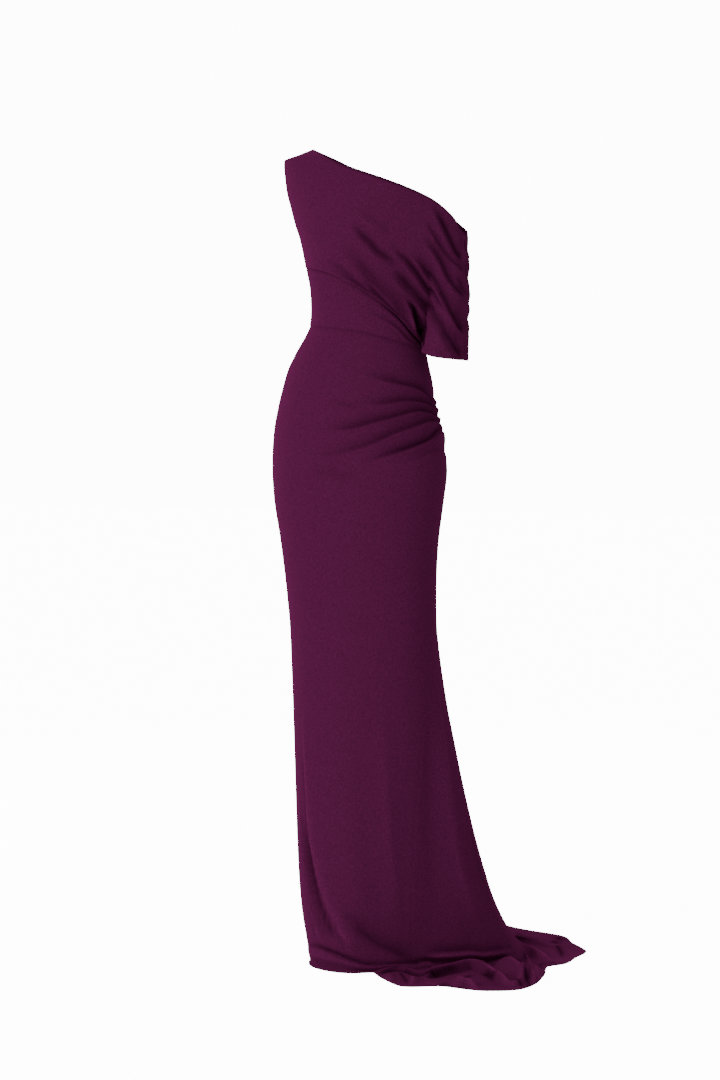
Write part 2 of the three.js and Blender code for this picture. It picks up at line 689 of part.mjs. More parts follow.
const MIDRIFF_ROWS = 5;
const MIDRIFF_FADE = 0.3;
function frontMidriff() {
  const shape = (across, down) => {
    const place = SIDE_LEFT * across;
    return figurePoint(place, lerp(drapeSeamHeight(place), waistHeight(place), down));
  };
  return panel({
    name: 'midriff_front',
    acrossPlaces: evenly(PINCH_COLUMN),
    downPlaces: evenly(MIDRIFF_ROWS),
    shape,
    press: (across, down) => midriffPress(SIDE_LEFT * across, shape(across, down).z)
      * smooth(0, MIDRIFF_FADE, down) * smooth(1, 1 - MIDRIFF_FADE, down),
    face: (across, down) => figureFacing(SIDE_LEFT * across, shape(across, down).z),
  });
}

// Where along the neckline the centre-back seam starts.
const CENTRE_BACK_NECKLINE = 0.34;
const centreBackSpot = (height) => ({
  share: shareAtWidth(true, figure.middle(height), height),
  height,
});

// The left back's lower edge is the sleeve hem up to one column, and the waist seam from
// the next.
const LEFT_BACK_COLUMNS = 17;
const LEFT_BACK_HEM_COLUMN = 7;
function leftBack() {
  const hemEnd = LEFT_BACK_HEM_COLUMN / LEFT_BACK_COLUMNS;
  const waistStart = (LEFT_BACK_HEM_COLUMN + 1) / LEFT_BACK_COLUMNS;
  const seamPlace = (across) => lerp(SIDE_LEFT, CENTRE_BACK, (across - waistStart) / (1 - waistStart));
  const lowerEdge = (across) => {
    if (across < waistStart) return hemPoint(hemBack, Math.min(across / hemEnd, 1));
    return figurePoint(seamPlace(across), waistHeight(seamPlace(across)));
  };
  const edges = {
    top: (across) => necklineSpot(true, lerp(1, CENTRE_BACK_NECKLINE, across)),
    bottom: (across) => onRing(true, lowerEdge(across)),
    first: (down) => ({ share: 1, height: sleeveEdgeHeight(down) }),
    last: (down) => centreBackSpot(lerp(edges.top(1).height, waistHeight(CENTRE_BACK), down)),
  };
  const shape = bodiceShape(true, edges, lowerEdge);
  return panel({
    name: 'bodice_back_left',
    acrossPlaces: evenly(LEFT_BACK_COLUMNS),
    downPlaces: evenly(BODICE_ROWS),
    shape,
    press: (across, down) => {
      const spot = patchSpot(edges, across, down);
      const besideHem = smooth(hemEnd, hemEnd - PINCH_FADE_WIDTH, across);
      const seamFade = lerp(smooth(...SEAM_FADE, down), 1, besideHem);
      const folds = backDrapePress(spot.share, spot.height) * seamFade;
      return lerp(folds, sleeveSeamPress(spot.height), smooth(BACK_PUFF_START, 0, across));
    },
    face: (across, down) => {
      if (across === 1) return figureFacing(CENTRE_BACK, edges.last(down).height);
      if (across === 0) return SLEEVE_SEAM_FACING;
      if (down < 1 || across < waistStart) return facing(shape, across, down);
      return figureFacing(seamPlace(across), waistHeight(seamPlace(across)));
    },
  });
}

const RIGHT_BACK_COLUMNS = 11;
function rightBack() {
  const placeAt = (across) => lerp(CENTRE_BACK, WHOLE_ROUND, across);
  const lowerEdge = (across) => figurePoint(placeAt(across), waistHeight(placeAt(across)));
  const edges = {
    top: (across) => necklineSpot(true, lerp(CENTRE_BACK_NECKLINE, 0, across)),
    bottom: (across) => onRing(true, lowerEdge(across)),
    first: (down) => centreBackSpot(lerp(edges.top(0).height, waistHeight(CENTRE_BACK), down)),
    last: (down) => ({ share: armholeShare(backEdgeHeight(down)), height: backEdgeHeight(down) }),
  };
  const shape = bodiceShape(true, edges, lowerEdge);
  return panel({
    name: 'bodice_back_right',
    acrossPlaces: evenly(RIGHT_BACK_COLUMNS),
    downPlaces: evenly(BODICE_ROWS),
    shape,
    press: () => 0,
    face: (across, down) => {
      if (across === 0) return figureFacing(CENTRE_BACK, edges.first(down).height);
      if (down === 1) return figureFacing(placeAt(across), waistHeight(placeAt(across)));
      const edgeHeight = backEdgeHeight(down);
      if (across === 1 && armholeShare(edgeHeight) === 0) return rightSideFacing(edgeHeight);
      return facing(shape, across, down);
    },
  });
}

// Part of a list of places, without its last one.
const run = (from, to, count) => Array.from({ length: count },
  (_, index) => lerp(from, to, index / count));

// Rows of the skirt, closest together where the hip folds and the pooled hem are, and
// columns, closest together towards the left side seam.
const HIP_FOLDS_START = 0.05;
const HIP_FOLDS_FINISH = 0.18;
const LANDING_START = 0.79;
const SKIRT_ROWS = [
  ...run(0, HIP_FOLDS_START, 3),
  ...run(HIP_FOLDS_START, HIP_FOLDS_FINISH, 13),
  ...run(HIP_FOLDS_FINISH, KNEE_PLACE, 4),
  ...run(KNEE_PLACE, LANDING_START, 6),
  ...run(LANDING_START, FLOOR_PLACE, 3),
  ...run(FLOOR_PLACE, 1, 8),
  1,
];
const SKIRT_FRONT_COLUMNS = [...run(0, 0.55, 8), ...run(0.55, 1, 14), 1];
const SKIRT_BACK_LEFT_COLUMNS = [...run(0, 0.5, 13), ...run(0.5, 1, 9), 1];
const SKIRT_BACK_RIGHT_COLUMNS = evenly(10);
const HIP_FOLD_FADE = 0.03;

function skirtPanel(name, acrossPlaces, firstSeam, lastSeam, press) {
  const placeAt = (across, down) => {
    const height = skirtPoint(SIDE_LEFT, down).z;
    return lerp(firstSeam(height), lastSeam(height), across);
  };
  const shape = (across, down) => skirtPoint(placeAt(across, down), down);
  return panel({
    name,
    acrossPlaces,
    downPlaces: SKIRT_ROWS,
    shape,
    press: (across, down) => {
      if (down > KNEE_PLACE) return 0;
      const point = shape(across, down);
      return press(placeAt(across, down), point.z) * smooth(0, HIP_FOLD_FADE, down);
    },
    face: (across, down) => {
      const place = placeAt(across, down);
      if (down === 0) return figureFacing(place, waistHeight(place - Math.floor(place)));
      const [low, high] = [skirtPoint(place - SLOPE_STEP, down), skirtPoint(place + SLOPE_STEP, down)];
      const above = skirtPoint(place, down - SLOPE_STEP);
      const below = skirtPoint(place, Math.min(down + SLOPE_STEP, 1));
      return outward(below.sub(above), high.sub(low));
    },
  });
}

// The zip's tape follows the back panels from inside.
const ZIP_COLUMNS = 2;
const ZIP_ROWS = 28;
function concealedZip() {
  const spot = (across, down) => [
    CENTRE_BACK + lerp(-ZIP_HALF_WIDTH_PLACE, ZIP_HALF_WIDTH_PLACE, across),
    lerp(ZIP_TOP_HEIGHT, ZIP_BOTTOM_HEIGHT, down),
  ];
  const face = (across, down) => figureFacing(...spot(across, down));
  return panel({
    name: 'zip_centre_back',
    acrossPlaces: evenly(ZIP_COLUMNS),
    downPlaces: evenly(ZIP_ROWS),
    shape: (across, down) => figurePoint(...spot(across, down))
      .addScaledVector(face(across, down), -CLOTH - ZIP_CLEARANCE),
    press: () => 0,
    face,
    material: ZIP_TAPE,
  });
}

const rightSeam = () => SIDE_RIGHT;
const rightSeamFromBehind = () => WHOLE_ROUND;
const backSeam = () => CENTRE_BACK;

const gown = new THREE.Group();
gown.add(
  frontDrape(),
  frontMidriff(),
  leftBack(),
  rightBack(),
  concealedZip(),
  skirtPanel('skirt_front', SKIRT_FRONT_COLUMNS, rightSeam, leftSeamPlace, hipPress),
  skirtPanel('skirt_back_left', SKIRT_BACK_LEFT_COLUMNS, leftSeamPlace, backSeam, backHipPress),
  skirtPanel('skirt_back_right', SKIRT_BACK_RIGHT_COLUMNS, backSeam, rightSeamFromBehind, () => 0),
);
gown.position.copy(HOLD_POINT).negate();

export default gown;
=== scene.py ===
"""A long one-shoulder gown in plum crepe, standing as it is worn with nobody in it.

The sizes are millimetres from the floor, with X to the wearer's left, Y to the back and Z up.
Two shapes carry the cloth: the figure's egg-shaped rings, and the taut loop round the figure
and the left upper arm together. A panel is a patch of one of them, pressed in along listed
creases and given a thin wall.
"""

import logging
from dataclasses import dataclass, field
from enum import Enum
from typing import Callable

import bpy
import numpy as np
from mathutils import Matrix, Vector

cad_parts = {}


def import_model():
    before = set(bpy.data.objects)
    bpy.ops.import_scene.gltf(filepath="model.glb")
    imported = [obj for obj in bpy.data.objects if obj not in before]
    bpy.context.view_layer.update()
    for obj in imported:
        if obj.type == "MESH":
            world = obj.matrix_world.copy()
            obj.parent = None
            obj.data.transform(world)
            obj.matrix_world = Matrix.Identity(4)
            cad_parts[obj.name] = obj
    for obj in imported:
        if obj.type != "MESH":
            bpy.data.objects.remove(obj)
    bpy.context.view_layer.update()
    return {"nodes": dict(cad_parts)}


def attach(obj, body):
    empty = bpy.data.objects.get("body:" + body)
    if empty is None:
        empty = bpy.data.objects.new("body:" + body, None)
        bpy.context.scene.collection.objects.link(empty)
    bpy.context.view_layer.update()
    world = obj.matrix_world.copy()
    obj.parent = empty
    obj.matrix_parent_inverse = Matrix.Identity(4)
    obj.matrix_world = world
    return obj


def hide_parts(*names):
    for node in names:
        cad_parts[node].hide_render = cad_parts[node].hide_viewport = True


LOG = logging.getLogger("gown")
# The mesh attribute named crease holds the painted shade in folds and the painted highlights on
# crests.
PAINTED_SHADING_ATTRIBUTE = "crease"

Array = np.ndarray
Spots = tuple[Array, Array]
Spot = tuple[float, float, float]
Colour = tuple[float, float, float]
Seam = Callable[[Array], Array]

METRES = 0.001
SHORTEST = 1e-9
FULL_TURN = 360.0
HOLD_POINT = np.array([-152.0, 0.0, 1556.7])

CREPE_THICKNESS = 0.9
TURNED_THICKNESS = 1.7
TURNED_WIDTH = 9.0
TURNED_EASE = 0.8

NECK_POINT_HEIGHT = 1568.0
SHOULDER_TIP_HEIGHT = 1548.0
UNDERARM_HEIGHT = 1379.0
DRAPE_SEAM_START_HEIGHT = 1337.0
KNEE_HEIGHT = 658.0
OUTER_ARM_NECKLINE_HEIGHT = 1393.0
SLEEVE_HEM_HEIGHT = 1153.0
LANDING_HEIGHT = 1.8

# Places are shares: of the way down the skirt, round the figure, and across the bodice.
KNEE_PLACE = 0.42
FLOOR_PLACE = 0.84
LANDING_BEND = 9
CENTRE_FRONT = 0.25
SIDE_LEFT = 0.5
CENTRE_BACK = 0.75
WHOLE_ROUND = 1.0
SLEEVE_PINCH = 23 / 32
CREASE_INSET = 0.005

# How far down the skirt the pooled folds rise out of the cloth, and sink again at the hem.
POOL_START = (0.828, 0.842)
POOL_END = (1.0, 0.962)

BODICE_WIDTH_FLAT = 480.0
SKIRT_GIRTH_FLAT = 950.0

PLUM = (0.072, 0.0075, 0.041)
TAPE_PLUM = (0.03, 0.004, 0.018)


class Half(Enum):
    """Which half of a ring a panel lies on."""

    FRONT = -1
    BEHIND = 1


class Edge(Enum):
    """How one edge of a panel is finished."""

    SEAM = "sewn to its neighbour"
    TURNED = "turned in and blind stitched"
    PRESSED = "sewn to its neighbour and pressed flat"


@dataclass(frozen=True)
class Table:
    """A short table with named columns, whose first column is the key."""

    columns: tuple[str, ...]
    rows: tuple[tuple[float, ...], ...]

    def curves(self) -> dict[str, "Curve"]:
        """Returns one curve over the key for each further column."""
        values = np.array(self.rows, dtype=float)
        return {
            name: Curve(values[:, 0], values[:, index])
            for index, name in enumerate(self.columns)
            if index
        }


class Curve:
    """A smooth curve through given values that never overshoots them.

    Each stretch is a cubic. Its slope at a value is the weighted harmonic mean of the steps
    on either side, and level where the steps change direction.
    """

    def __init__(self, keys: Array, values: Array) -> None:
        """Works out the slopes.

        Args:
            keys: where the values stand, rising.
            values: the values there.
        """
        self.keys = np.asarray(keys, dtype=float)
        self.values = np.asarray(values, dtype=float)
        widths = np.diff(self.keys)
        steps = np.diff(self.values) / widths
        near = 2 * widths[1:] + widths[:-1]
        far = widths[1:] + 2 * widths[:-1]
        turning = steps[:-1] * steps[1:] <= 0
        before = np.where(turning, 1.0, steps[:-1])
        after = np.where(turning, 1.0, steps[1:])
        inner = np.where(turning, 0.0, (near + far) / (near / before + far / after))
        self.slopes = np.concatenate([steps[:1], inner, steps[-1:]])

    def __call__(self, at: Array | float) -> Array:
        """Returns the curve's values, held level beyond its ends."""
        x = np.clip(at, self.keys[0], self.keys[-1])
        index = np.clip(np.searchsorted(self.keys, x, side="right") - 1, 0, len(self.keys) - 2)
        width = self.keys[index + 1] - self.keys[index]
        t = (x - self.keys[index]) / width
        start = (1 + 2 * t) * (1 - t) ** 2 * self.values[index]
        finish = t * t * (3 - 2 * t) * self.values[index + 1]
        slope_in = t * (1 - t) ** 2 * width * self.slopes[index]
        slope_out = t * t * (1 - t) * width * self.slopes[index + 1]
        return start + finish + slope_in - slope_out


def smooth(start: float, finish: float, value: Array | float) -> Array:
    """Eases from 0 at start to 1 at finish, which may be the lower of the two.

    Args:
        start: where the result is 0.
        finish: where the result is 1.
        value: what is eased.

    Returns:
        The eased share, from 0 to 1.
    """
    t = np.clip((np.asarray(value, dtype=float) - start) / (finish - start), 0, 1)
    return t * t * (3 - 2 * t)


def blend(low: Array | float, high: Array | float, share: Array | float) -> Array:
    """Returns the straight mix of two values, low at share 0 and high at share 1."""
    return low + (high - low) * share


def hump(distance: Array) -> Array:
    """Returns a soft hump, 1 in the middle and near 0 from two widths away."""
    return np.exp(-distance * distance)


def ends_eased(value: Array, start: float, finish: float) -> Array:
    """Returns 1 in the middle of 0 to 1, and eases to 0 over a stretch at each end."""
    return smooth(0, start, value) * smooth(1, 1 - finish, value)


def run_along(points: Array, axis: int = 0) -> Array:
    """Returns how far each point lies from the start of its line.

    Args:
        points: a line or a grid of points, with the coordinates last.
        axis: the axis that the lines run along.

    Returns:
        The distances along the lines, 0 at the start.
    """
    steps = np.linalg.norm(np.diff(points, axis=axis), axis=-1)
    start = np.zeros_like(np.take(steps, [0], axis=axis))
    return np.concatenate([start, np.cumsum(steps, axis=axis)], axis=axis)


FIGURE = Table(
    ("height", "middle", "shift", "half", "front", "back"),
    (
        (658, -11.5, 0, 154, 94, 104),
        (735, -16, 0, 158.5, 96, 106),
        (812, -19.5, 0, 166, 100, 112),
        (889, -21.5, 0, 178, 104, 122),
        (946, -20.5, 0, 183, 106, 129),
        (985, -22, 0, 180.5, 107, 130),
        (1023, -22, 0, 177, 106, 128),
        (1062, -21, 0, 170, 104, 121),
        (1100, -22, 0, 158.5, 101, 112),
        (1139, -20, 0, 147.5, 97, 102),
        (1171, -14.5, 0, 135.5, 92, 92),
        (1225, -1.5, 0, 116.5, 84, 80),
        (1255, -3, 0, 112, 82, 78),
        (1290, -2, 0, 113, 90, 80),
        (1320, 0, 2, 119, 104, 84),
        (1345, 0, 4, 125, 112, 88),
        (1379, 0, 4, 135, 108, 92),
        (1440, 0, 0, 158, 96, 92),
        (1500, 0, 0, 179, 78, 78),
        (1548, 0, 0, 185, 42, 44),
        (1558.5, 0, 0, 152, 23, 25),
        (1568, 0, 0, 121, 4, 4),
    ),
)
UPPER_ARM = Table(
    ("height", "middle", "shift", "radius"),
    (
        (1120, 174, 14, 30),
        (1250, 177, 12, 34),
        (1340, 174, 8, 38),
        (1392, 170, 6, 40),
        (1430, 160, 4, 40),
        (1465, 142, 2, 36),
        (1500, 110, 0, 28),
    ),
)
NECKLINE = Table(
    ("along", "x", "height", "height_behind"),
    (
        (0, -121, 1568, 1568),
        (0.18, -60, 1543, 1532),
        (0.37, 10, 1518, 1497),
        (0.55, 77, 1495, 1470),
        (0.67, 122, 1477, 1451),
        (0.79, 165, 1453, 1421),
        (0.91, 196, 1422, 1401),
        (1, 210, 1393, 1393),
    ),
)
WAIST_SEAM = Table(
    ("place", "height"),
    (
        (0, 1224),
        (0.14, 1222),
        (0.276, 1212),
        (0.406, 1191),
        (0.5, 1177),
        (0.56, 1172),
        (0.65, 1180),
        (0.75, 1195),
        (0.88, 1215),
        (1, 1224),
    ),
)
DRAPE_SEAM = Table(
    ("place", "height"),
    (
        (0, 1337),
        (0.11, 1333),
        (0.21, 1321),
        (0.28, 1297),
        (0.36, 1261),
        (0.405, 1237),
        (0.453, 1206),
        (0.5, 1187),
    ),
)
LEFT_SIDE_SEAM = Table(
    ("height", "place"),
    (
        (0, 0.438),
        (160, 0.434),
        (280, 0.438),
        (400, 0.452),
        (658, 0.485),
        (960, 0.53),
        (1180, 0.5),
    ),
)
SLEEVE_HEM = {
    Half.FRONT: Table(
        ("along", "x", "y", "height"),
        (
            (0, 212, 14, 1153),
            (0.2, 194, -26, 1155),
            (0.45, 168, -42, 1159),
            (0.75, 140, -34, 1168),
            (1, 120, -3, 1186),
        ),
    ),
    Half.BEHIND: Table(
        ("along", "x", "y", "height"),
        (
            (0, 212, 14, 1153),
            (0.2, 196, 40, 1154),
            (0.45, 168, 50, 1158),
            (0.75, 138, 36, 1168),
            (1, 120, 3, 1186),
        ),
    ),
}
ARMHOLE = Table(
    ("height", "share"),
    (
        (1379, 0),
        (1400, 0.07),
        (1440, 0.1),
        (1490, 0.09),
        (1530, 0.045),
        (1548, 0),
    ),
)
FLOOR_PLAN = Table(
    ("angle", "flare", "bend", "tuck", "hem"),
    (
        (-90, 132, 0.8, -24, 111),
        (-60, 130, 0.8, -25, 108),
        (-42, 124, 0.9, -9, 118),
        (-18, 119, 1, 2, 132),
        (13, 120, 1.1, 6, 139),
        (35, 117, 1.2, 3, 128),
        (39, 117, 1.2, 3, 182),
        (44.5, 119, 1.3, 3, 254),
        (59, 129, 1.35, 2, 280),
        (67, 138, 1.35, 3, 354),
        (77, 152, 1.35, 6, 390),
        (95, 204, 1.32, 18, 366),
        (107, 250, 1.3, 30, 352),
        (113, 268, 1.3, 36, 384),
        (121, 270, 1.32, 44, 405),
        (130, 266, 1.35, 58, 437),
        (139, 260, 1.35, 74, 436),
        (148, 252, 1.35, 88, 452),
        (160, 242, 1.35, 94, 432),
        (180, 228, 1.35, 88, 424),
        (200, 206, 1.3, 66, 392),
        (220, 178, 1.2, 40, 318),
        (240, 148, 1, 6, 222),
        (255, 136, 0.9, -12, 150),
        (270, 132, 0.8, -24, 111),
    ),
)


@dataclass(frozen=True)
class Fold:
    """A listed crease: its bottom line, its depth and its two flanks.

    The line runs through (place, height) points. The near flank lies on the left of the way
    along the line and the far flank on its right, each with its own width. The shade is painted
    shade: how much darker the cloth's colour is painted at the bottom, where little light gets
    in; below 0 it is a painted highlight, how much lighter a crest is painted.
    """

    line: tuple[tuple[float, float], ...]
    depth: float
    near: float
    far: float
    shade: float = 0.0
    start_fade: float = 0.35
    finish_fade: float = 0.15
    sharpness: float = 1.6


@dataclass(frozen=True)
class Ridge:
    """A ridge that runs out along the train.

    The angle, round from the front, and the width are degrees, and the rise is millimetres.
    """

    angle: float
    width: float
    rise: float


# Each fold gives its line, depth, near and far flank, painted shade, fades at the start and the
# finish, and sharpness. The bodice's lines are in (share of the loop, height).
DRAPE_FOLDS = (
    Fold(((0.545, 1447), (0.57, 1430), (0.605, 1416), (0.637, 1402), (0.673, 1387)), 2, 10, 7, 0.1),
    Fold(((0.87, 1446), (0.883, 1429), (0.893, 1405), (0.917, 1375), (0.934, 1360), (0.958, 1347),
          (0.98, 1342)), 8, 14, 5, 0.55, 0.35, 0.12),
    Fold(((0.798, 1418), (0.825, 1407), (0.845, 1392), (0.87, 1369), (0.903, 1349), (0.937, 1335),
          (0.972, 1322), (1.0, 1314)), 4, 9, 4, 0.3),
    Fold(((0.797, 1390), (0.82, 1373), (0.852, 1353), (0.871, 1337), (0.9, 1306), (0.928, 1291),
          (0.955, 1281), (1.0, 1267)), 6, 15, 4.5, 0.5),
    Fold(((0.938, 1314), (0.958, 1299), (0.976, 1287), (1.0, 1279)), 2, 5, 3.5, 0.3),
    Fold(((0.727, 1358), (0.752, 1347), (0.777, 1334), (0.796, 1314), (0.822, 1295), (0.858, 1275),
          (0.898, 1252), (0.938, 1231), (0.968, 1214), (1.0, 1200)), 9, 20, 4, 0.55, 0.3, 0.1),
    Fold(((0.649, 1373), (0.673, 1364), (0.699, 1349), (0.723, 1338), (0.74, 1325), (0.755, 1312),
          (0.776, 1289), (0.8, 1274), (0.852, 1256), (0.907, 1237)), 8, 8, 6, 0.6, 0.35, 0.4),
    Fold(((0.651, 1327), (0.665, 1316), (0.681, 1303), (0.7, 1290), (0.72, 1279), (0.74, 1265),
          (0.777, 1246), (0.844, 1228), (0.894, 1210), (0.932, 1193), (0.964, 1175), (1.0, 1158)),
         10, 13, 9, 0.5, 0.15, 0.06),
    Fold(((0.5, 1413), (0.521, 1399), (0.543, 1386), (0.574, 1374), (0.592, 1363), (0.62, 1351),
          (0.648, 1342), (0.695, 1325)), 7, 9, 6, 0.5, 0.3, 0.3),
    Fold(((0.436, 1382), (0.473, 1368), (0.504, 1351), (0.528, 1335), (0.549, 1316), (0.57, 1298),
          (0.599, 1283), (0.633, 1270), (0.655, 1255), (0.678, 1239), (0.692, 1218)),
         7, 14, 12, 0.2, 0.4, 0.2, 2.0),
    Fold(((0.34, 1350), (0.376, 1339), (0.419, 1327), (0.446, 1313), (0.473, 1298), (0.505, 1287),
          (0.533, 1278), (0.562, 1264)), 5, 8, 12, 0.25, 0.4, 0.3),
    Fold(((0.505, 1304), (0.538, 1288), (0.561, 1275), (0.588, 1262), (0.612, 1250), (0.65, 1232)),
         6, 3.5, 7, 0.4, 0.3, 0.1),
    Fold(((0.664, 1274), (0.686, 1263), (0.704, 1250), (0.712, 1236), (0.721, 1220), (0.727, 1207),
          (0.74, 1192), (0.77, 1176)), 16, 6, 4.5, 0.95, 0.35, 0.001, 2.0),
)
BACK_DRAPE_FOLDS = (
    Fold(((0.84, 1398), (0.93, 1362), (1.0, 1316)), 6, 13, 5, 0.4),
    Fold(((0.76, 1400), (0.87, 1338), (1.0, 1267)), 7, 15, 5, 0.45),
    Fold(((0.68, 1384), (0.80, 1312), (1.0, 1200)), 9, 17, 5, 0.5),
    Fold(((0.61, 1368), (0.74, 1296), (0.88, 1214), (1.0, 1158)), 10, 15, 7, 0.5),
    Fold(((0.55, 1336), (0.66, 1282), (0.80, 1214), (0.90, 1170)), 7, 14, 6, 0.4),
    Fold(((0.50, 1304), (0.58, 1264), (0.69, 1218), (0.76, 1190)), 6, 13, 6, 0.3),
)
# The lines of the midriff and of the hanging skirt are in (place round the figure, height).
HIP_FOLDS = (
    Fold(((0.31, 1135), (0.327, 1129), (0.344, 1124), (0.382, 1115), (0.406, 1111), (0.432, 1107),
          (0.457, 1103), (0.478, 1097), (0.525, 1080), (0.57, 1084), (0.63, 1100)),
         6, 14, 3.2, 0.45, 0.3, 0.3, 1.3),
    Fold(((0.29, 1074), (0.327, 1073), (0.35, 1073), (0.374, 1076), (0.397, 1079), (0.423, 1080),
          (0.446, 1079), (0.472, 1077), (0.503, 1072), (0.53, 1066), (0.58, 1070), (0.64, 1078)),
         6, 14, 3.2, 0.45, 0.3, 0.3, 1.3),
    Fold(((0.24, 1075), (0.261, 1073), (0.281, 1071), (0.303, 1067), (0.335, 1061)),
         2.5, 9, 4, 0.15, 0.4, 0.4, 1.3),
    Fold(((0.22, 1026), (0.257, 1025), (0.277, 1026), (0.295, 1028), (0.332, 1038), (0.372, 1047),
          (0.416, 1057), (0.441, 1060), (0.471, 1059), (0.53, 1053), (0.58, 1051), (0.66, 1040)),
         7, 16, 3.2, 0.5, 0.25, 0.3, 1.2),
    Fold(((0.185, 981), (0.217, 974), (0.243, 974), (0.291, 985), (0.337, 1001), (0.377, 1018),
          (0.417, 1029), (0.439, 1034), (0.473, 1041), (0.53, 1042), (0.58, 1030), (0.66, 1000)),
         7, 18, 3.4, 0.45, 0.4, 0.3, 1.2),
    Fold(((0.3, 957), (0.332, 968), (0.368, 979), (0.409, 990), (0.45, 1001), (0.475, 1009),
          (0.507, 1021), (0.53, 1026), (0.57, 1008), (0.63, 972)),
         8, 15, 3.2, 0.6, 0.3, 0.3, 1.2),
    Fold(((0.2, 947), (0.232, 942), (0.255, 939), (0.279, 933), (0.32, 931)), 3, 14, 9, 0.12, 0.4,
         0.4),
    Fold(((0.36, 956), (0.381, 962), (0.407, 968), (0.441, 976), (0.479, 985), (0.53, 990),
          (0.60, 966)), 3, 12, 7, 0.12, 0.4, 0.3),
)
MIDRIFF_FOLDS = (
    Fold(((0.30, 1257), (0.395, 1222), (0.455, 1189), (0.5, 1175)), 3, 8, 4, 0.15, 0.5, 0.1),
)
SKIRT_FRONT_RIDGES = (
    Fold(((0.112, 340), (0.124, 276), (0.142, 208), (0.165, 133), (0.197, 71), (0.222, 46)),
         -7, 8, 8, -0.2, 0.4, 0.2),
    Fold(((0.14, 290), (0.158, 210), (0.183, 142), (0.218, 90), (0.262, 50)),
         7, 10, 12, 0.55, 0.4, 0.2),
    Fold(((0.145, 470), (0.165, 318), (0.178, 238), (0.196, 185), (0.227, 126), (0.254, 91),
          (0.287, 56), (0.311, 34)), -9, 18, 6, -0.35, 0.4, 0.1),
    Fold(((0.345, 520), (0.361, 402), (0.377, 253), (0.397, 140), (0.404, 75)),
         -4, 16, 26, -0.12, 0.4, 0.3),
)
LANDING_FOLDS = (
    Fold(((0.09, 36), (0.129, 34), (0.188, 38), (0.253, 33), (0.297, 23), (0.329, 16), (0.39, 13),
          (0.438, 14), (0.456, 18), (0.466, 20), (0.479, 14), (0.497, 15), (0.507, 18), (0.525, 16),
          (0.54, 14), (0.556, 22)), 4, 6, 4, 0.75, 0.3, 0.15),
    Fold(((0.25, 132), (0.272, 105), (0.315, 75), (0.363, 50), (0.411, 31), (0.438, 20),
          (0.46, 14)), 4, 22, 10, 0.45, 0.4, 0.2),
    Fold(((0.45, 34), (0.465, 33), (0.486, 35), (0.515, 36), (0.53, 31), (0.55, 31), (0.57, 33)),
         2, 12, 4, 0.55, 0.35, 0.25),
    Fold(((0.45, 27), (0.486, 26), (0.515, 27), (0.53, 23), (0.56, 23)), -5, 5, 5, -0.35, 0.3, 0.3),
    Fold(((0.512, 16), (0.53, 13), (0.545, 17), (0.556, 23)), 2, 6, 5, 0.9, 0.2, 0.3),
    Fold(((0.1, 20), (0.154, 22), (0.254, 21), (0.316, 12), (0.4, 10), (0.43, 9)),
         -5, 7, 8, -0.15, 0.3, 0.2),
)
SKIRT_BACK_RIDGES = (
    Fold(((0.515, 560), (0.519, 284), (0.521, 222), (0.526, 151), (0.531, 100), (0.539, 49)),
         -8, 9, 20, -0.25, 0.4, 0.2),
    Fold(((0.56, 330), (0.561, 221), (0.56, 154), (0.562, 97)), 3, 14, 10, 0.35, 0.4, 0.4),
    Fold(((0.60, 640), (0.605, 420), (0.61, 200), (0.615, 60)), -7, 14, 14, 0.0, 0.4, 0.2),
    Fold(((0.68, 600), (0.685, 420), (0.69, 200), (0.695, 60)), -8, 15, 15, 0.0, 0.4, 0.2),
    Fold(((0.755, 660), (0.757, 420), (0.76, 200), (0.762, 60)), -7, 14, 14, 0.0, 0.4, 0.2),
    Fold(((0.83, 600), (0.828, 420), (0.825, 200), (0.822, 60)), -7, 14, 14, 0.0, 0.4, 0.2),
    Fold(((0.90, 560), (0.897, 400), (0.892, 200), (0.888, 60)), -5, 12, 12, 0.0, 0.4, 0.2),
)
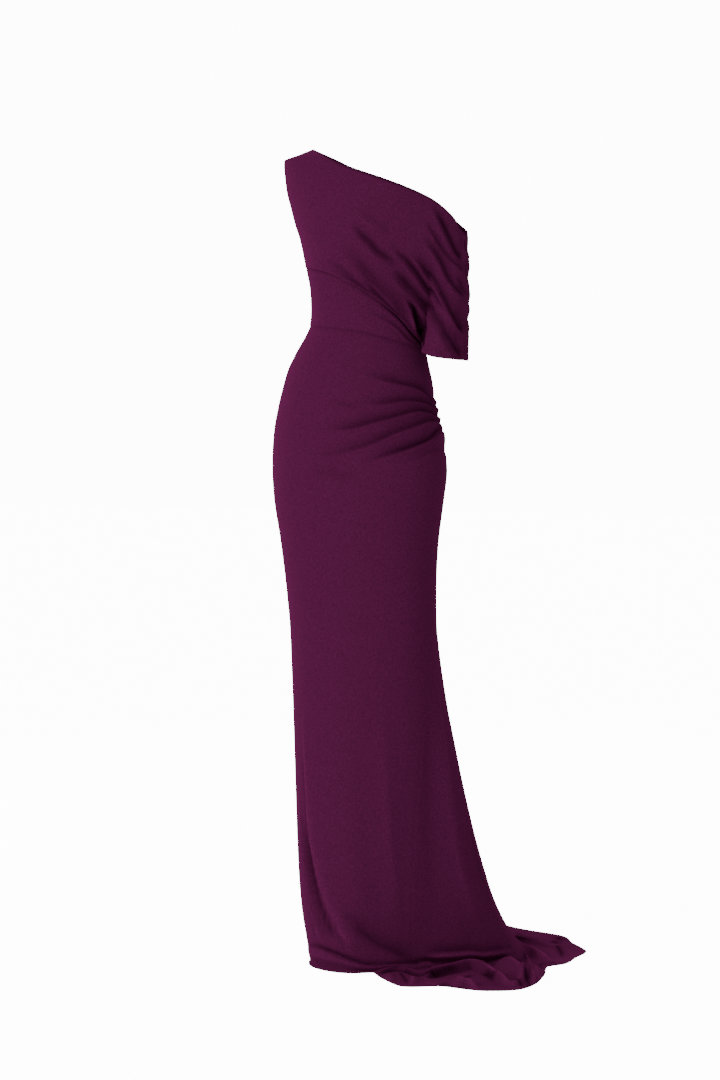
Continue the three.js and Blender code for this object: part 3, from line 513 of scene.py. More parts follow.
# The lines of the pooled hem are in (x, y) on the floor. A depth of 0 only paints shade or a
# highlight into the colour.
POOL_FOLDS = (
    Fold(((184, -112), (190, -95), (203, -57), (209, -33), (213, -1), (222, 15), (246, 8),
          (285, -30), (321, -68), (358, -105)), -19, 16, 6, 0.0, 0.1, 0.08, 2.4),
    Fold(((188, -92), (201, -54), (207, -30), (211, 2), (222, 18), (247, 12), (286, -27),
          (322, -65), (359, -102)), 0, 9, 5, -0.8, 0.04, 0.08),
    Fold(((235, 66), (262, 73), (291, 49), (322, 16), (353, -17)), -20, 20, 34, 0.0, 0.3, 0.2, 2.0),
    Fold(((240, 73), (262, 74), (291, 50), (322, 17), (350, -14)), 0, 5, 6, -0.4, 0.2, 0.2),
    Fold(((349, -98), (360, -88), (352, -44), (339, 7), (345, 21)), -14, 9, 8, -0.5, 0.2, 0.2, 2.0),
    Fold(((334, 30), (348, 18), (371, -28), (391, -74), (410, -120)),
         -15, 8, 6, -0.4, 0.15, 0.1, 2.0),
    Fold(((317, 98), (350, 35), (385, -33)), -10, 10, 10, -0.3, 0.3, 0.3, 2.0),
    Fold(((187, -137), (221, -146), (246, -142), (255, -108), (258, -67)),
         -9, 12, 7, -0.3, 0.3, 0.3, 2.0),
    Fold(((85, -112), (97, -84), (108, -70), (120, -68), (146, -82), (170, -88), (194, -84)),
         -7, 14, 4, -0.15, 0.2, 0.2, 2.0),
    Fold(((158, -103), (179, -140), (197, -178)), -7, 7, 7, -0.5, 0.3, 0.3, 2.0),
    Fold(((104, -108), (124, -132), (148, -168)), -6, 9, 12, -0.4, 0.3, 0.3, 2.0),
    Fold(((269, -180), (269, -142), (266, -106), (290, -120), (319, -151), (343, -175)),
         -13, 9, 10, -0.6, 0.2, 0.2, 2.0),
    Fold(((90, -120), (100, -92), (111, -78), (122, -76), (148, -90), (172, -96), (197, -92),
          (217, -70)), 0, 7, 6, 0.85, 0.1, 0.2),
    Fold(((117, -80), (147, -118), (182, -166)), 0, 5, 5, 0.95, 0.15, 0.3),
    Fold(((92, -112), (115, -122), (121, -98)), 0, 8, 8, 0.75, 0.2, 0.2),
    Fold(((190, -106), (195, -96), (206, -60), (212, -36), (216, -8)), 0, 3, 7, 0.96, 0.05, 0.45),
    Fold(((230, -96), (243, -78), (248, -56), (246, -27)), 0, 8, 8, 0.92, 0.25, 0.25),
    Fold(((246, -2), (268, -22), (290, -43), (318, -73)), 0, 5, 7, 0.97, 0.35, 0.3),
    Fold(((236, -130), (252, -146), (262, -136)), 0, 8, 9, 0.9, 0.2, 0.2),
    Fold(((281, -160), (282, -134)), 0, 9, 9, 0.85, 0.2, 0.2),
    Fold(((338, -57), (353, -58), (377, -82)), 0, 9, 9, 0.9, 0.2, 0.3),
    Fold(((332, 16), (354, -20), (380, -63), (398, -100)), 0, 6, 6, 0.99, 0.2, 0.25),
    Fold(((356, 20), (379, -26), (399, -72)), 0, 5, 5, 0.55, 0.3, 0.3),
    Fold(((146, 340), (191, 297), (230, 286), (274, 266)), -9, 9, 12, -0.3, 0.3, 0.3, 2.0),
    Fold(((190, 240), (220, 216), (252, 201), (297, 161), (341, 123)), -14, 12, 8, -0.6, 0.15, 0.3,
         2.0),
    Fold(((240, 186), (277, 133), (322, 66)), -10, 8, 8, -0.4, 0.2, 0.3, 2.0),
    Fold(((320, 111), (329, 126), (345, 136)), -7, 8, 8, -0.3, 0.2, 0.3, 2.0),
    Fold(((155, 322), (184, 293), (214, 287), (250, 279)), 0, 11, 8, 0.85, 0.15, 0.6),
    Fold(((128, 380), (158, 348), (204, 330), (246, 316)), 0, 9, 8, 0.55, 0.2, 0.5),
    Fold(((165, 305), (196, 262), (218, 240), (250, 216), (286, 186), (330, 148)),
         0, 18, 9, 0.98, 0.1, 0.7),
    Fold(((215, 222), (245, 178), (280, 124), (311, 76)), 0, 9, 9, 0.92, 0.2, 0.3),
    Fold(((236, 330), (262, 308)), 0, 13, 11, 0.97, 0.2, 0.2),
    Fold(((262, 302), (282, 268), (310, 222), (334, 176)), 0, 9, 9, 0.99, 0.15, 0.4),
    Fold(((228, 372), (256, 338)), 0, 13, 13, 0.92, 0.2, 0.2),
    Fold(((311, 123), (340, 68)), 0, 7, 7, 0.7, 0.2, 0.2),
)
TRAIN_RIDGES = (
    Ridge(171, 4.5, 9),
    Ridge(187, 5, 10),
    Ridge(204, 5, 8),
    Ridge(220, 6, 7),
)
# How the train's ridges rise and fall along the cloth that lies on the floor.
RIDGE_START = (0.05, 0.45)
RIDGE_EASE = (0.6, 1.0)
RIDGE_AT_HEM = 0.35

SLEEVE_NOTCHES = Table(
    ("height", "press"),
    (
        (1160, 0),
        (1205, 0),
        (1229, 2.5),
        (1249, -3),
        (1272, 4),
        (1291, -3),
        (1322, 4),
        (1347, -3),
        (1371, 3.5),
        (1384, 0),
        (1393, 0),
    ),
)


class Creases:
    """The folds of one panel, as a depth that they press the cloth in by, and a painted shade."""

    STEPS = 40
    SHOULDER_RISE = 0.3
    SHOULDER_AWAY = 1.9
    SHOULDER_REACH = 0.8
    SHADE_NEAR = 0.75
    SHADE_FAR = 0.6
    SHADE_SHARPNESS = 1.3

    def __init__(self, folds: tuple[Fold, ...], girth: float) -> None:
        """Keeps the folds and the width that one whole place stands for.

        Args:
            folds: the folds, as listed.
            girth: millimetres that one whole place stands for.
        """
        self.folds = folds
        self.girth = girth

    def bend(self, fold: Fold) -> Array:
        """Returns a fold's line in even steps, as (across, height) in millimetres."""
        marks = np.array(fold.line, dtype=float) * (self.girth, 1.0)
        length = run_along(marks)
        at = np.linspace(0, length[-1], self.STEPS + 1)
        return np.stack([Curve(length, marks[:, 0])(at), Curve(length, marks[:, 1])(at)], axis=-1)

    def press(self, place: Array, height: Array) -> tuple[Array, Array]:
        """Returns how deep the folds press the cloth, and the shade they paint into its colour.

        A trough falls off from its line as exp(-(distance / flank) ** sharpness), with a low
        raised shoulder on its far side, and fades out towards the ends of the line. The painted
        shade falls off in the same way over a share of each flank.

        Args:
            place: places round the ring.
            height: heights of the same spots.

        Returns:
            Depths in millimetres, inward where positive, and painted shades, which are 1 in the
            deepest painted shadow and below 0 where a crest gets a painted highlight.
        """
        total = np.zeros(np.broadcast(place, height).shape)
        light = np.ones(total.shape)
        for fold in self.folds:
            line = self.bend(fold)
            low, step = line[:-1], np.diff(line, axis=0)
            best = np.full(total.shape, np.inf)
            along = np.zeros(total.shape)
            side = np.zeros(total.shape)
            for index in range(self.STEPS):
                across = place * self.girth - low[index, 0]
                up = height - low[index, 1]
                whole = step[index] @ step[index]
                share = np.clip((across * step[index, 0] + up * step[index, 1]) / whole, 0, 1)
                away = np.hypot(across - share * step[index, 0], up - share * step[index, 1])
                nearer = away < best
                best = np.where(nearer, away, best)
                along = np.where(nearer, (index + share) / self.STEPS, along)
                turn = step[index, 0] * up - step[index, 1] * across
                side = np.where(nearer, turn, side)
            apart = best / np.where(side > 0, fold.near, fold.far)
            fade = ends_eased(along, fold.start_fade, fold.finish_fade)
            trough = np.exp(-(apart ** fold.sharpness))
            shoulder = hump((apart - self.SHOULDER_AWAY) / self.SHOULDER_REACH) * (side <= 0)
            total += fold.depth * fade * (trough - self.SHOULDER_RISE * shoulder)
            # Painted shade along the fold's bottom, or a painted highlight on a crest where the
            # shade is below 0.
            reach = np.where(side > 0, self.SHADE_NEAR, self.SHADE_FAR)
            light *= 1 - fold.shade * fade * np.exp(-((apart / reach) ** self.SHADE_SHARPNESS))
        return total, 1 - light


@dataclass
class Figure:
    """The egg-shaped rings of a general figure."""

    rings: dict[str, Curve] = field(default_factory=FIGURE.curves)

    def point(self, place: Array, height: Array) -> Array:
        """Returns points on the figure.

        A ring is four quarter ellipses: x = middle + half * cos(turn) and
        y = shift + depth * sin(turn), where depth is front or back.

        Args:
            place: 0 at the right side, 0.25 the middle of the front, 0.5 the left side.
            height: heights from the floor.

        Returns:
            Points, with the coordinates last.
        """
        place, height = np.broadcast_arrays(place, height)
        turn = np.pi + 2 * np.pi * place
        depth = np.where(np.sin(turn) < 0, self.rings["front"](height), self.rings["back"](height))
        x = self.rings["middle"](height) + self.rings["half"](height) * np.cos(turn)
        y = self.rings["shift"](height) + depth * np.sin(turn)
        return np.stack([x, y, height], axis=-1)


class BodiceRing:
    """Half of the taut loop round the figure and the left upper arm."""

    ROUNDING = 7.0
    LOWEST, HIGHEST, LEVELS = 1100.0, 1570.0, 236
    SWEEPS, SHARES = 193, 193

    def __init__(self, figure: Figure, half: Half) -> None:
        """Works out, for each level, which direction each share of the loop lies in.

        Args:
            figure: the figure inside the loop.
            half: the front or the back half.
        """
        self.rings = figure.rings
        self.arm = UPPER_ARM.curves()
        self.half = half
        levels = np.linspace(self.LOWEST, self.HIGHEST, self.LEVELS)
        sweeps = np.linspace(0, np.pi, self.SWEEPS)
        points = self.loop(sweeps[None, :], levels[:, None])
        length = run_along(points, axis=1)
        share = length / length[:, -1:]
        even = np.linspace(0, 1, self.SHARES)
        self.sweep_table = np.stack([np.interp(even, row, sweeps) for row in share])

    def loop(self, sweep: Array, height: Array) -> Array:
        """Returns points of the loop by direction.

        In each direction the loop reaches as far as the further of figure and arm, blended
        as a smooth maximum. Its point is that reach along the direction, less the reach's
        rate of change across it.

        Args:
            sweep: the direction, from 0 at the right side to pi at the left.
            height: heights from the floor.

        Returns:
            Points, with the coordinates last.
        """
        sweep, height = np.broadcast_arrays(sweep, height)
        behind = self.half is Half.BEHIND
        turn = np.pi - sweep if behind else np.pi + sweep
        c, s = np.cos(turn), np.sin(turn)
        half = self.rings["half"](height)
        depth = self.rings["back" if behind else "front"](height)
        middle, shift = self.rings["middle"](height), self.rings["shift"](height)
        round_reach = np.hypot(half * c, depth * s)
        body = middle * c + shift * s + round_reach
        body_rate = -middle * s + shift * c + (depth**2 - half**2) * c * s / round_reach
        arm_x, arm_y = self.arm["middle"](height), self.arm["shift"](height)
        arm = arm_x * c + arm_y * s + self.arm["radius"](height)
        arm_rate = -arm_x * s + arm_y * c
        most = np.maximum(body, arm)
        body_weight = np.exp((body - most) / self.ROUNDING)
        arm_weight = np.exp((arm - most) / self.ROUNDING)
        reach = most + self.ROUNDING * np.log(body_weight + arm_weight)
        rate = (body_rate * body_weight + arm_rate * arm_weight) / (body_weight + arm_weight)
        return np.stack([reach * c - rate * s, reach * s + rate * c, height], axis=-1)

    def point(self, share: Array, height: Array) -> Array:
        """Returns points of the loop by their share of its length, 0 right and 1 outer arm."""
        share, height = np.broadcast_arrays(np.clip(share, 0, 1), height)
        level = (height - self.LOWEST) / (self.HIGHEST - self.LOWEST) * (self.LEVELS - 1)
        level = np.clip(level, 0, self.LEVELS - 1.001)
        column = np.clip(share * (self.SHARES - 1), 0, self.SHARES - 1.0001)
        row, place = level.astype(int), column.astype(int)
        up, on = level - row, column - place
        table = self.sweep_table
        low = blend(table[row, place], table[row, place + 1], on)
        high = blend(table[row + 1, place], table[row + 1, place + 1], on)
        return self.loop(blend(low, high, up), height)

    def share_at_width(self, x: Array, height: Array) -> Array:
        """Returns the shares at which the loop is as far to the left as x."""
        x, height = np.broadcast_arrays(np.asarray(x, float), np.asarray(height, float))
        even = np.linspace(0, 1, self.SHARES)
        widths = self.point(even[None, :], height.reshape(-1, 1))[..., 0]
        wanted = np.clip(x.reshape(-1, 1), widths[:, :1], widths[:, -1:])
        index = np.clip((widths < wanted).sum(axis=1) - 1, 0, self.SHARES - 2)
        rows = np.arange(len(index))
        low, high = widths[rows, index], widths[rows, index + 1]
        t = np.clip((wanted[:, 0] - low) / np.maximum(high - low, SHORTEST), 0, 1)
        return ((index + t) / (self.SHARES - 1)).reshape(x.shape)


def unit(vectors: Array) -> Array:
    """Returns vectors made one long, but for those of almost no length."""
    return vectors / np.maximum(np.linalg.norm(vectors, axis=-1, keepdims=True), SHORTEST)


def normals_of(grid: Array) -> Array:
    """Returns a grid's outward normals: the cross product of its steps down and across."""
    return unit(np.cross(np.gradient(grid, axis=0), np.gradient(grid, axis=1)))


def share_between(start: float, finish: float, spots: Array) -> Array:
    """Returns how far spots lie between two values, clipped to 0 and 1."""
    return np.clip((spots - start) / (finish - start), 0, 1)


def stations(count: int, length: float, ends: tuple[float, ...] = (0.5, 1.2, 2.2, 3.6)) -> Array:
    """Returns places from 0 to 1, even but for finer steps near both ends.

    Args:
        count: how many even steps lie between the finer ones.
        length: millimetres that the whole stands for.
        ends: distances of the finer places from each end, in millimetres.

    Returns:
        The places, rising.
    """
    near = np.array(ends) / length
    middle = np.linspace(near[-1], 1 - near[-1], count + 1)
    return np.concatenate([[0.0], near[:-1], middle, 1 - near[:-1][::-1], [1.0]])


def crowded(places: Array, spot: float, share: float) -> Array:
    """Moves places so that a given share of them lies before a spot.

    Args:
        places: rising places from 0 to 1.
        spot: where the spacing changes.
        share: the share of the places that lies before the spot afterwards.

    Returns:
        The new places, in two straight stretches.
    """
    low = places * spot / share
    high = 1 - (1 - places) * (1 - spot) / (1 - share)
    return np.where(places < share, low, high)


def straight_seam(place: float) -> Seam:
    """Returns a seam that keeps to one place round the skirt at every height."""
    return lambda height: np.full_like(height, place)


def set_inputs(node: bpy.types.Node, values: dict[str, float | tuple[float, ...]]) -> None:
    """Sets a node's inputs, each by its name."""
    for name, value in values.items():
        node.inputs[name].default_value = value


def new_material(name: str) -> tuple[bpy.types.Material, bpy.types.NodeTree, bpy.types.Node]:
    """Returns a new material with its node tree and its Principled shader."""
    material = bpy.data.materials.new(name)
    material.use_nodes = True
    return material, material.node_tree, material.node_tree.nodes["Principled BSDF"]


def scaled(colour: Colour, share: float) -> Colour:
    """Returns a colour with each of its channels times a share."""
    return tuple(channel * share for channel in colour)


def add_mix(
    tree: bpy.types.NodeTree, factor: bpy.types.NodeSocket, low: Colour, high: Colour
) -> bpy.types.Node:
    """Adds a mix of two colours, which is low at factor 0 and high at factor 1."""
    mix = tree.nodes.new("ShaderNodeMix")
    mix.data_type = "RGBA"
    set_inputs(mix, {"A": (*low, 1.0), "B": (*high, 1.0)})
    tree.links.new(factor, mix.inputs["Factor"])
    return mix


def add_bump(
    tree: bpy.types.NodeTree, height: bpy.types.NodeSocket, strength: float, distance: float
) -> bpy.types.NodeSocket:
    """Adds a bump made from a height, and returns its normal."""
    bump = tree.nodes.new("ShaderNodeBump")
    set_inputs(bump, {"Strength": strength, "Distance": distance})
    tree.links.new(height, bump.inputs["Height"])
    return bump.outputs["Normal"]


@dataclass(frozen=True)
class Grain:
    """The crepe's shared grain: pebbles about a millimetre wide over a slower mottle.

    The scales are counts per metre, and the tone is spread over the middle of the noise.
    """

    name: str = "crepe grain"
    pebble_scale: float = 900.0
    pebble_detail: float = 2.0
    mottle_scale: float = 330.0
    mottle_detail: float = 3.0
    mottle_share: float = 0.6
    tone_start: float = 0.32
    tone_finish: float = 0.68

    def group(self) -> bpy.types.NodeTree:
        """Returns the node group, made at the first call."""
        if self.name in bpy.data.node_groups:
            return bpy.data.node_groups[self.name]
        group = bpy.data.node_groups.new(self.name, "ShaderNodeTree")
        group.interface.new_socket("Place", in_out="INPUT", socket_type="NodeSocketVector")
        for output in ("Tone", "Height"):
            group.interface.new_socket(output, in_out="OUTPUT", socket_type="NodeSocketFloat")
        nodes, links = group.nodes, group.links
        enter, leave = nodes.new("NodeGroupInput"), nodes.new("NodeGroupOutput")
        pebbles, mottle = nodes.new("ShaderNodeTexNoise"), nodes.new("ShaderNodeTexNoise")
        set_inputs(pebbles, {"Scale": self.pebble_scale, "Detail": self.pebble_detail})
        set_inputs(mottle, {"Scale": self.mottle_scale, "Detail": self.mottle_detail})
        mix = nodes.new("ShaderNodeMix")
        set_inputs(mix, {"Factor": self.mottle_share})
        for noise, socket in ((pebbles, "A"), (mottle, "B")):
            links.new(enter.outputs["Place"], noise.inputs["Vector"])
            links.new(noise.outputs["Fac"], mix.inputs[socket])
        spread = nodes.new("ShaderNodeMapRange")
        set_inputs(spread, {"From Min": self.tone_start, "From Max": self.tone_finish})
        links.new(mix.outputs["Result"], spread.inputs["Value"])
        links.new(spread.outputs["Result"], leave.inputs["Tone"])
        links.new(pebbles.outputs["Fac"], leave.inputs["Height"])
        return group


@dataclass(frozen=True)
class Crepe:
    """Fine matte crepe: a pebbled grain, and a slight bloom of colour at a low angle."""

    name: str
    colour: Colour
    roughness: float = 0.78
    sheen: float = 0.08
    sheen_roughness: float = 0.45
    sheen_tint: Colour = (0.9, 0.1, 0.5)
    specular: float = 0.0
    contrast: float = 0.3
    # The share of the colour left in the deepest painted shade.
    deepest: float = 0.06
    grain_strength: float = 0.35
    grain_height: float = 0.0006

    def make(self) -> bpy.types.Material:
        """Returns the material, darkened by painted shade and lightened by painted highlights."""
        material, tree, shader = new_material(self.name)
        set_inputs(shader, {
            "Roughness": self.roughness,
            "Sheen Weight": self.sheen,
            "Sheen Roughness": self.sheen_roughness,
            "Sheen Tint": (*self.sheen_tint, 1.0),
            "Specular IOR Level": self.specular,
        })
        place = tree.nodes.new("ShaderNodeTexCoord")
        grain = tree.nodes.new("ShaderNodeGroup")
        grain.node_tree = Grain().group()
        tree.links.new(place.outputs["Object"], grain.inputs["Place"])
        dark, light = scaled(self.colour, 1 - self.contrast), scaled(self.colour, 1 + self.contrast)
        tone = add_mix(tree, grain.outputs["Tone"], dark, light)
        # The crease attribute paints shade into the colour and, below 0, highlights.
        crease = tree.nodes.new("ShaderNodeAttribute")
        crease.attribute_name = PAINTED_SHADING_ATTRIBUTE
        shaded = add_mix(tree, crease.outputs["Fac"], light, scaled(self.colour, self.deepest))
        # A crest's value is below 0, so the mix runs past its first colour into a painted
        # highlight.
        shaded.clamp_factor = False
        tree.links.new(tone.outputs["Result"], shaded.inputs["A"])
        tree.links.new(shaded.outputs["Result"], shader.inputs["Base Color"])
        normal = add_bump(tree, grain.outputs["Height"], self.grain_strength, self.grain_height)
        tree.links.new(normal, shader.inputs["Normal"])
        return material


@dataclass(frozen=True)
class Tape:
    """The zip's plain woven tape."""

    name: str
    colour: Colour
    roughness: float = 0.7
    contrast: float = 0.2
    rib_scale: float = 260.0
    rib_wobble: float = 0.4
    rib_strength: float = 0.3
    rib_height: float = 0.0003

    def make(self) -> bpy.types.Material:
        """Returns the material, ribbed across the tape."""
        material, tree, shader = new_material(self.name)
        set_inputs(shader, {"Roughness": self.roughness})
        place = tree.nodes.new("ShaderNodeTexCoord")
        rib = tree.nodes.new("ShaderNodeTexWave")
        rib.bands_direction = "Z"
        set_inputs(rib, {"Scale": self.rib_scale, "Distortion": self.rib_wobble})
        tree.links.new(place.outputs["Object"], rib.inputs["Vector"])
        dark, light = scaled(self.colour, 1 - self.contrast), scaled(self.colour, 1 + self.contrast)
        tone = add_mix(tree, rib.outputs["Fac"], dark, light)
        tree.links.new(tone.outputs["Result"], shader.inputs["Base Color"])
        normal = add_bump(tree, rib.outputs["Fac"], self.rib_strength, self.rib_height)
        tree.links.new(normal, shader.inputs["Normal"])
        return material


@dataclass(frozen=True)
class Cut:
    """What a panel's flat cut measures in metres, and how it hangs."""

    width: float
    length: float
    area: float
    held: str
    rests_on: tuple[str, ...]


@dataclass
class Panel:
    """One cut piece of cloth: a grid of points that gets a wall, a finish and its place."""

    name: str
    grid: Array
    edges: dict[str, Edge]
    cut: Cut
    finish: bpy.types.Material
    # Painted shade for each point, below 0 a painted highlight, carried into the material's colour.
    shade: Array

    GROOVE_DEPTHS = {Edge.SEAM: 1.0, Edge.PRESSED: 0.3}
    GROOVE_WIDTH = 1.7
    SEAM_LAP = 0.35
    BORDERS = {
        "first": (np.s_[:, 0], np.s_[:, 1]),
        "last": (np.s_[:, -1], np.s_[:, -2]),
        "top": (np.s_[0], np.s_[1]),
        "bottom": (np.s_[-1], np.s_[-2]),
    }

    def edge_distance(self) -> dict[str, Array]:
        """Returns how far each point lies from each edge, along the cloth."""
        first, top = run_along(self.grid, axis=1), run_along(self.grid, axis=0)
        return {"first": first, "last": first[:, -1:] - first, "top": top, "bottom": top[-1:] - top}

    def finished(self, away: dict[str, Array], normals: Array) -> tuple[Array, Array]:
        """Finishes the edges.

        A seam sinks in a narrow groove, depth * exp(-(distance / width) ** 2), and reaches a
        little past the seam line, so that no light gets through. A turned edge is as thick
        as two layers for the width of its turning.

        Args:
            away: how far each point lies from each edge.
            normals: the grid's outward normals.

        Returns:
            The points of the outer face, and the wall's thickness at each.
        """
        outer = self.grid.copy()
        thickness = np.full(outer.shape[:2], CREPE_THICKNESS)
        for side, edge in self.edges.items():
            if edge is Edge.TURNED:
                turned = smooth(TURNED_WIDTH + TURNED_EASE, TURNED_WIDTH, away[side])
                thickness = np.maximum(thickness, blend(CREPE_THICKNESS, TURNED_THICKNESS, turned))
                continue
            sink = self.GROOVE_DEPTHS[edge] * hump(away[side] / self.GROOVE_WIDTH)
            outer -= normals * sink[..., None]
            border, beside = self.BORDERS[side]
            outer[border] += self.SEAM_LAP * unit(outer[border] - outer[beside])
        return outer, thickness

    def wall(self) -> tuple[Array, Array, Array]:
        """Works out the closed wall: an outer face, an inner face and a rim round both.

        Returns:
            The vertices, the faces and a place on the flat cloth for each vertex.
        """
        away = self.edge_distance()
        normals = normals_of(self.grid)
        outer, thickness = self.finished(away, normals)
        inner = outer - normals * thickness[..., None]
        count = thickness.size
        index = np.arange(count).reshape(thickness.shape)
        a, b, c, d = index[:-1, :-1], index[1:, :-1], index[1:, 1:], index[:-1, 1:]
        shell = [
            np.stack([a, b, c, d], axis=-1).reshape(-1, 4),
            np.stack([a, d, c, b], axis=-1).reshape(-1, 4) + count,
        ]
        for border in (index[0], index[:, -1], index[-1, ::-1], index[::-1, 0]):
            low, high = border[:-1], border[1:]
            shell.append(np.stack([low, high, high + count, low + count], axis=-1))
        vertices = np.concatenate([outer.reshape(-1, 3), inner.reshape(-1, 3)])
        vertices[:, 2] = np.maximum(vertices[:, 2], 0.0)
        flat = np.stack([away["first"], away["top"]], axis=-1).reshape(-1, 2) * METRES
        return vertices, np.concatenate(shell), np.concatenate([flat, flat])

    def build(self, node: str) -> None:
        """Makes the mesh, dresses it and puts it in its node's place.

        Args:
            node: the node that the panel stands for.
        """
        vertices, faces, flat = self.wall()
        mesh = bpy.data.meshes.new(self.name)
        mesh.from_pydata((vertices - HOLD_POINT) * METRES, [], faces)
        mesh.polygons.foreach_set("use_smooth", np.ones(len(faces), dtype=bool))
        corners = np.empty(len(mesh.loops), dtype=np.int32)
        mesh.loops.foreach_get("vertex_index", corners)
        layer = mesh.uv_layers.new(name="cloth")
        layer.data.foreach_set("uv", flat[corners].ravel())
        # The painted shade goes on the mesh, for the material to paint into the colour.
        shade = mesh.attributes.new(PAINTED_SHADING_ATTRIBUTE, "FLOAT", "POINT")
        shade.data.foreach_set("value", np.tile(self.shade.ravel(), 2))
        mesh.materials.append(self.finish)
        mesh.update()
        piece = bpy.data.objects.new(self.name, mesh)
        bpy.context.collection.objects.link(piece)
        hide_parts(node)
        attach(piece, "root")
        area = sum(polygon.area for polygon in mesh.polygons) / 2
        LOG.info("%s: %d faces, %.3f m2 of cloth", self.name, len(faces), area)


@dataclass(frozen=True)
class Patch:
    """A patch of the loop: its points, and their shares and heights on the loop."""

    grid: Array
    share: Array
    height: Array


@dataclass
class Bodice:
    """The four panels above the waist seam."""

    figure: Figure
    finish: bpy.types.Material
    rings: dict[Half, BodiceRing] = field(init=False)
    neckline: dict[str, Curve] = field(init=False)
    waist: Curve = field(init=False)
    drape_seam: Curve = field(init=False)
    armhole: Curve = field(init=False)
    notches: Curve = field(init=False)

    DRAW_OVER_START = 0.4
    CENTRE_BACK_NECKLINE = 0.34
    HEM_END = 7 / 17
    WAIST_START = 8 / 17
    BETWEEN_COLUMNS = 6
    SHOULDER_TIP_DOWN = 3 / 28
    UNDERARM_DOWN = {Half.FRONT: 22 / 28, Half.BEHIND: 16 / 28}
    PUFF_START = {Half.FRONT: 0.965, Half.BEHIND: 0.05}
    OUTER_END = {Half.FRONT: 1, Half.BEHIND: 0}
    LOW_SEAM_FADE = {Half.FRONT: 0.94, Half.BEHIND: 0.92}
    SLEEVE_FADE = 0.08
    OUTER_SEAM_REACH = 0.03
    LEFTWARD = np.array([1.0, 0.0, 0.0])
    OVERLAP_START = (0.0, 0.3)
    OVERLAP_PINCH = 0.02
    OVERLAP_PROUD = 3.2
    OVERLAP_WIDTH = 11.0
    OVERLAP_UNDER = 7.0
    OVERLAP_SINK = 1.8
    OVERLAP_SINK_WIDTH = 14.0
    GROOVE_END = (0.12, 0.02)
    # Painted shade: a dark band along the neckline's turned edge, and one on the midriff under the
    # drape's lifted edge.
    NECK_SHADE = 0.8
    NECK_SHADE_WIDTH = 4.5
    NECK_SHADE_START = (0.1, 0.35)
    MIDRIFF_FADE = (0.25, 0.2)
    UNDER_SHADE = (0.7, 0.93)
    UNDER_SHADE_RUN = (0.3, 0.42)
    UNDER_SHADE_WIDTH = (4.0, 8.0)
    UNDER_SHADE_WIDTH_RUN = (0.34, 0.46)
    UNDER_SHADE_DROP = 2.0

    def __post_init__(self) -> None:
        """Works out both halves of the loop and the curves of the seams."""
        self.rings = {half: BodiceRing(self.figure, half) for half in Half}
        self.neckline = NECKLINE.curves()
        self.waist = WAIST_SEAM.curves()["height"]
        self.drape_seam = DRAPE_SEAM.curves()["height"]
        self.armhole = ARMHOLE.curves()["share"]
        self.notches = SLEEVE_NOTCHES.curves()["press"]

    def neck_edge(self, half: Half, along: Array) -> Spots:
        """Returns shares and heights along the neckline."""
        column = "height" if half is Half.FRONT else "height_behind"
        height = self.neckline[column](along)
        return self.rings[half].share_at_width(self.neckline["x"](along), height), height

    def side_edge(self, half: Half, low: float, down: Array) -> Spots:
        """Returns shares and heights down the armhole and the right side.

        Args:
            half: the half of the loop.
            low: the height at the lower end.
            down: places down the side.

        Returns:
            The shares and heights, the heights in straight stretches.
        """
        marks = (0.0, self.SHOULDER_TIP_DOWN, self.UNDERARM_DOWN[half], 1.0)
        heights = (NECK_POINT_HEIGHT, SHOULDER_TIP_HEIGHT, UNDERARM_HEIGHT, low)
        height = np.interp(down, marks, heights)
        return self.armhole(height), height

    def sleeve_edge(self, down: Array) -> Spots:
        """Returns shares and heights down the outer sleeve seam."""
        return np.ones_like(down), blend(OUTER_ARM_NECKLINE_HEIGHT, SLEEVE_HEM_HEIGHT, down)

    def centre_back(self, top: float, down: Array) -> Spots:
        """Returns shares and heights down the centre-back seam."""
        height = blend(top, self.waist(CENTRE_BACK), down)
        middle = self.figure.rings["middle"](height)
        return self.rings[Half.BEHIND].share_at_width(middle, height), height

    def sleeve_hem(self, half: Half, along: Array) -> Array:
        """Returns points along the sleeve's hem, from its outer corner to the crease."""
        hem = SLEEVE_HEM[half].curves()
        return np.stack([hem["x"](along), hem["y"](along), hem["height"](along)], axis=-1)

    def fill(self, half: Half, across: Array, down: Array, top: Spots, low: Array, first: Spots,
             last: Spots) -> Patch:
        """Fills a four-sided patch of the loop from its edges.

        Share and height are each the sum of the two straight mixes between facing edges,
        less the mix of the four corners. The patch is then drawn over to its lower edge.

        Args:
            half: the half of the loop.
            across: places across the patch.
            down: places down it.
            top: shares and heights along the top.
            low: the true points of the lower edge.
            first: shares and heights down the first side.
            last: shares and heights down the last side.

        Returns:
            The patch.
        """
        ring = self.rings[half]
        bottom = ring.share_at_width(low[..., 0], low[..., 2]), low[..., 2]
        mixed = []
        for high, floor, left, right in zip(top, bottom, first, last):
            upright = blend(high[None, :], floor[None, :], down[:, None])
            level = blend(left[:, None], right[:, None], across[None, :])
            upper = blend(high[0], high[-1], across[None, :])
            lower = blend(floor[0], floor[-1], across[None, :])
            mixed.append(upright + level - blend(upper, lower, down[:, None]))
        share, height = mixed
        drawn = low - ring.point(*bottom)
        ease = smooth(self.DRAW_OVER_START, 1, down)[:, None, None]
        return Patch(ring.point(share, height) + ease * drawn[None], share, height)

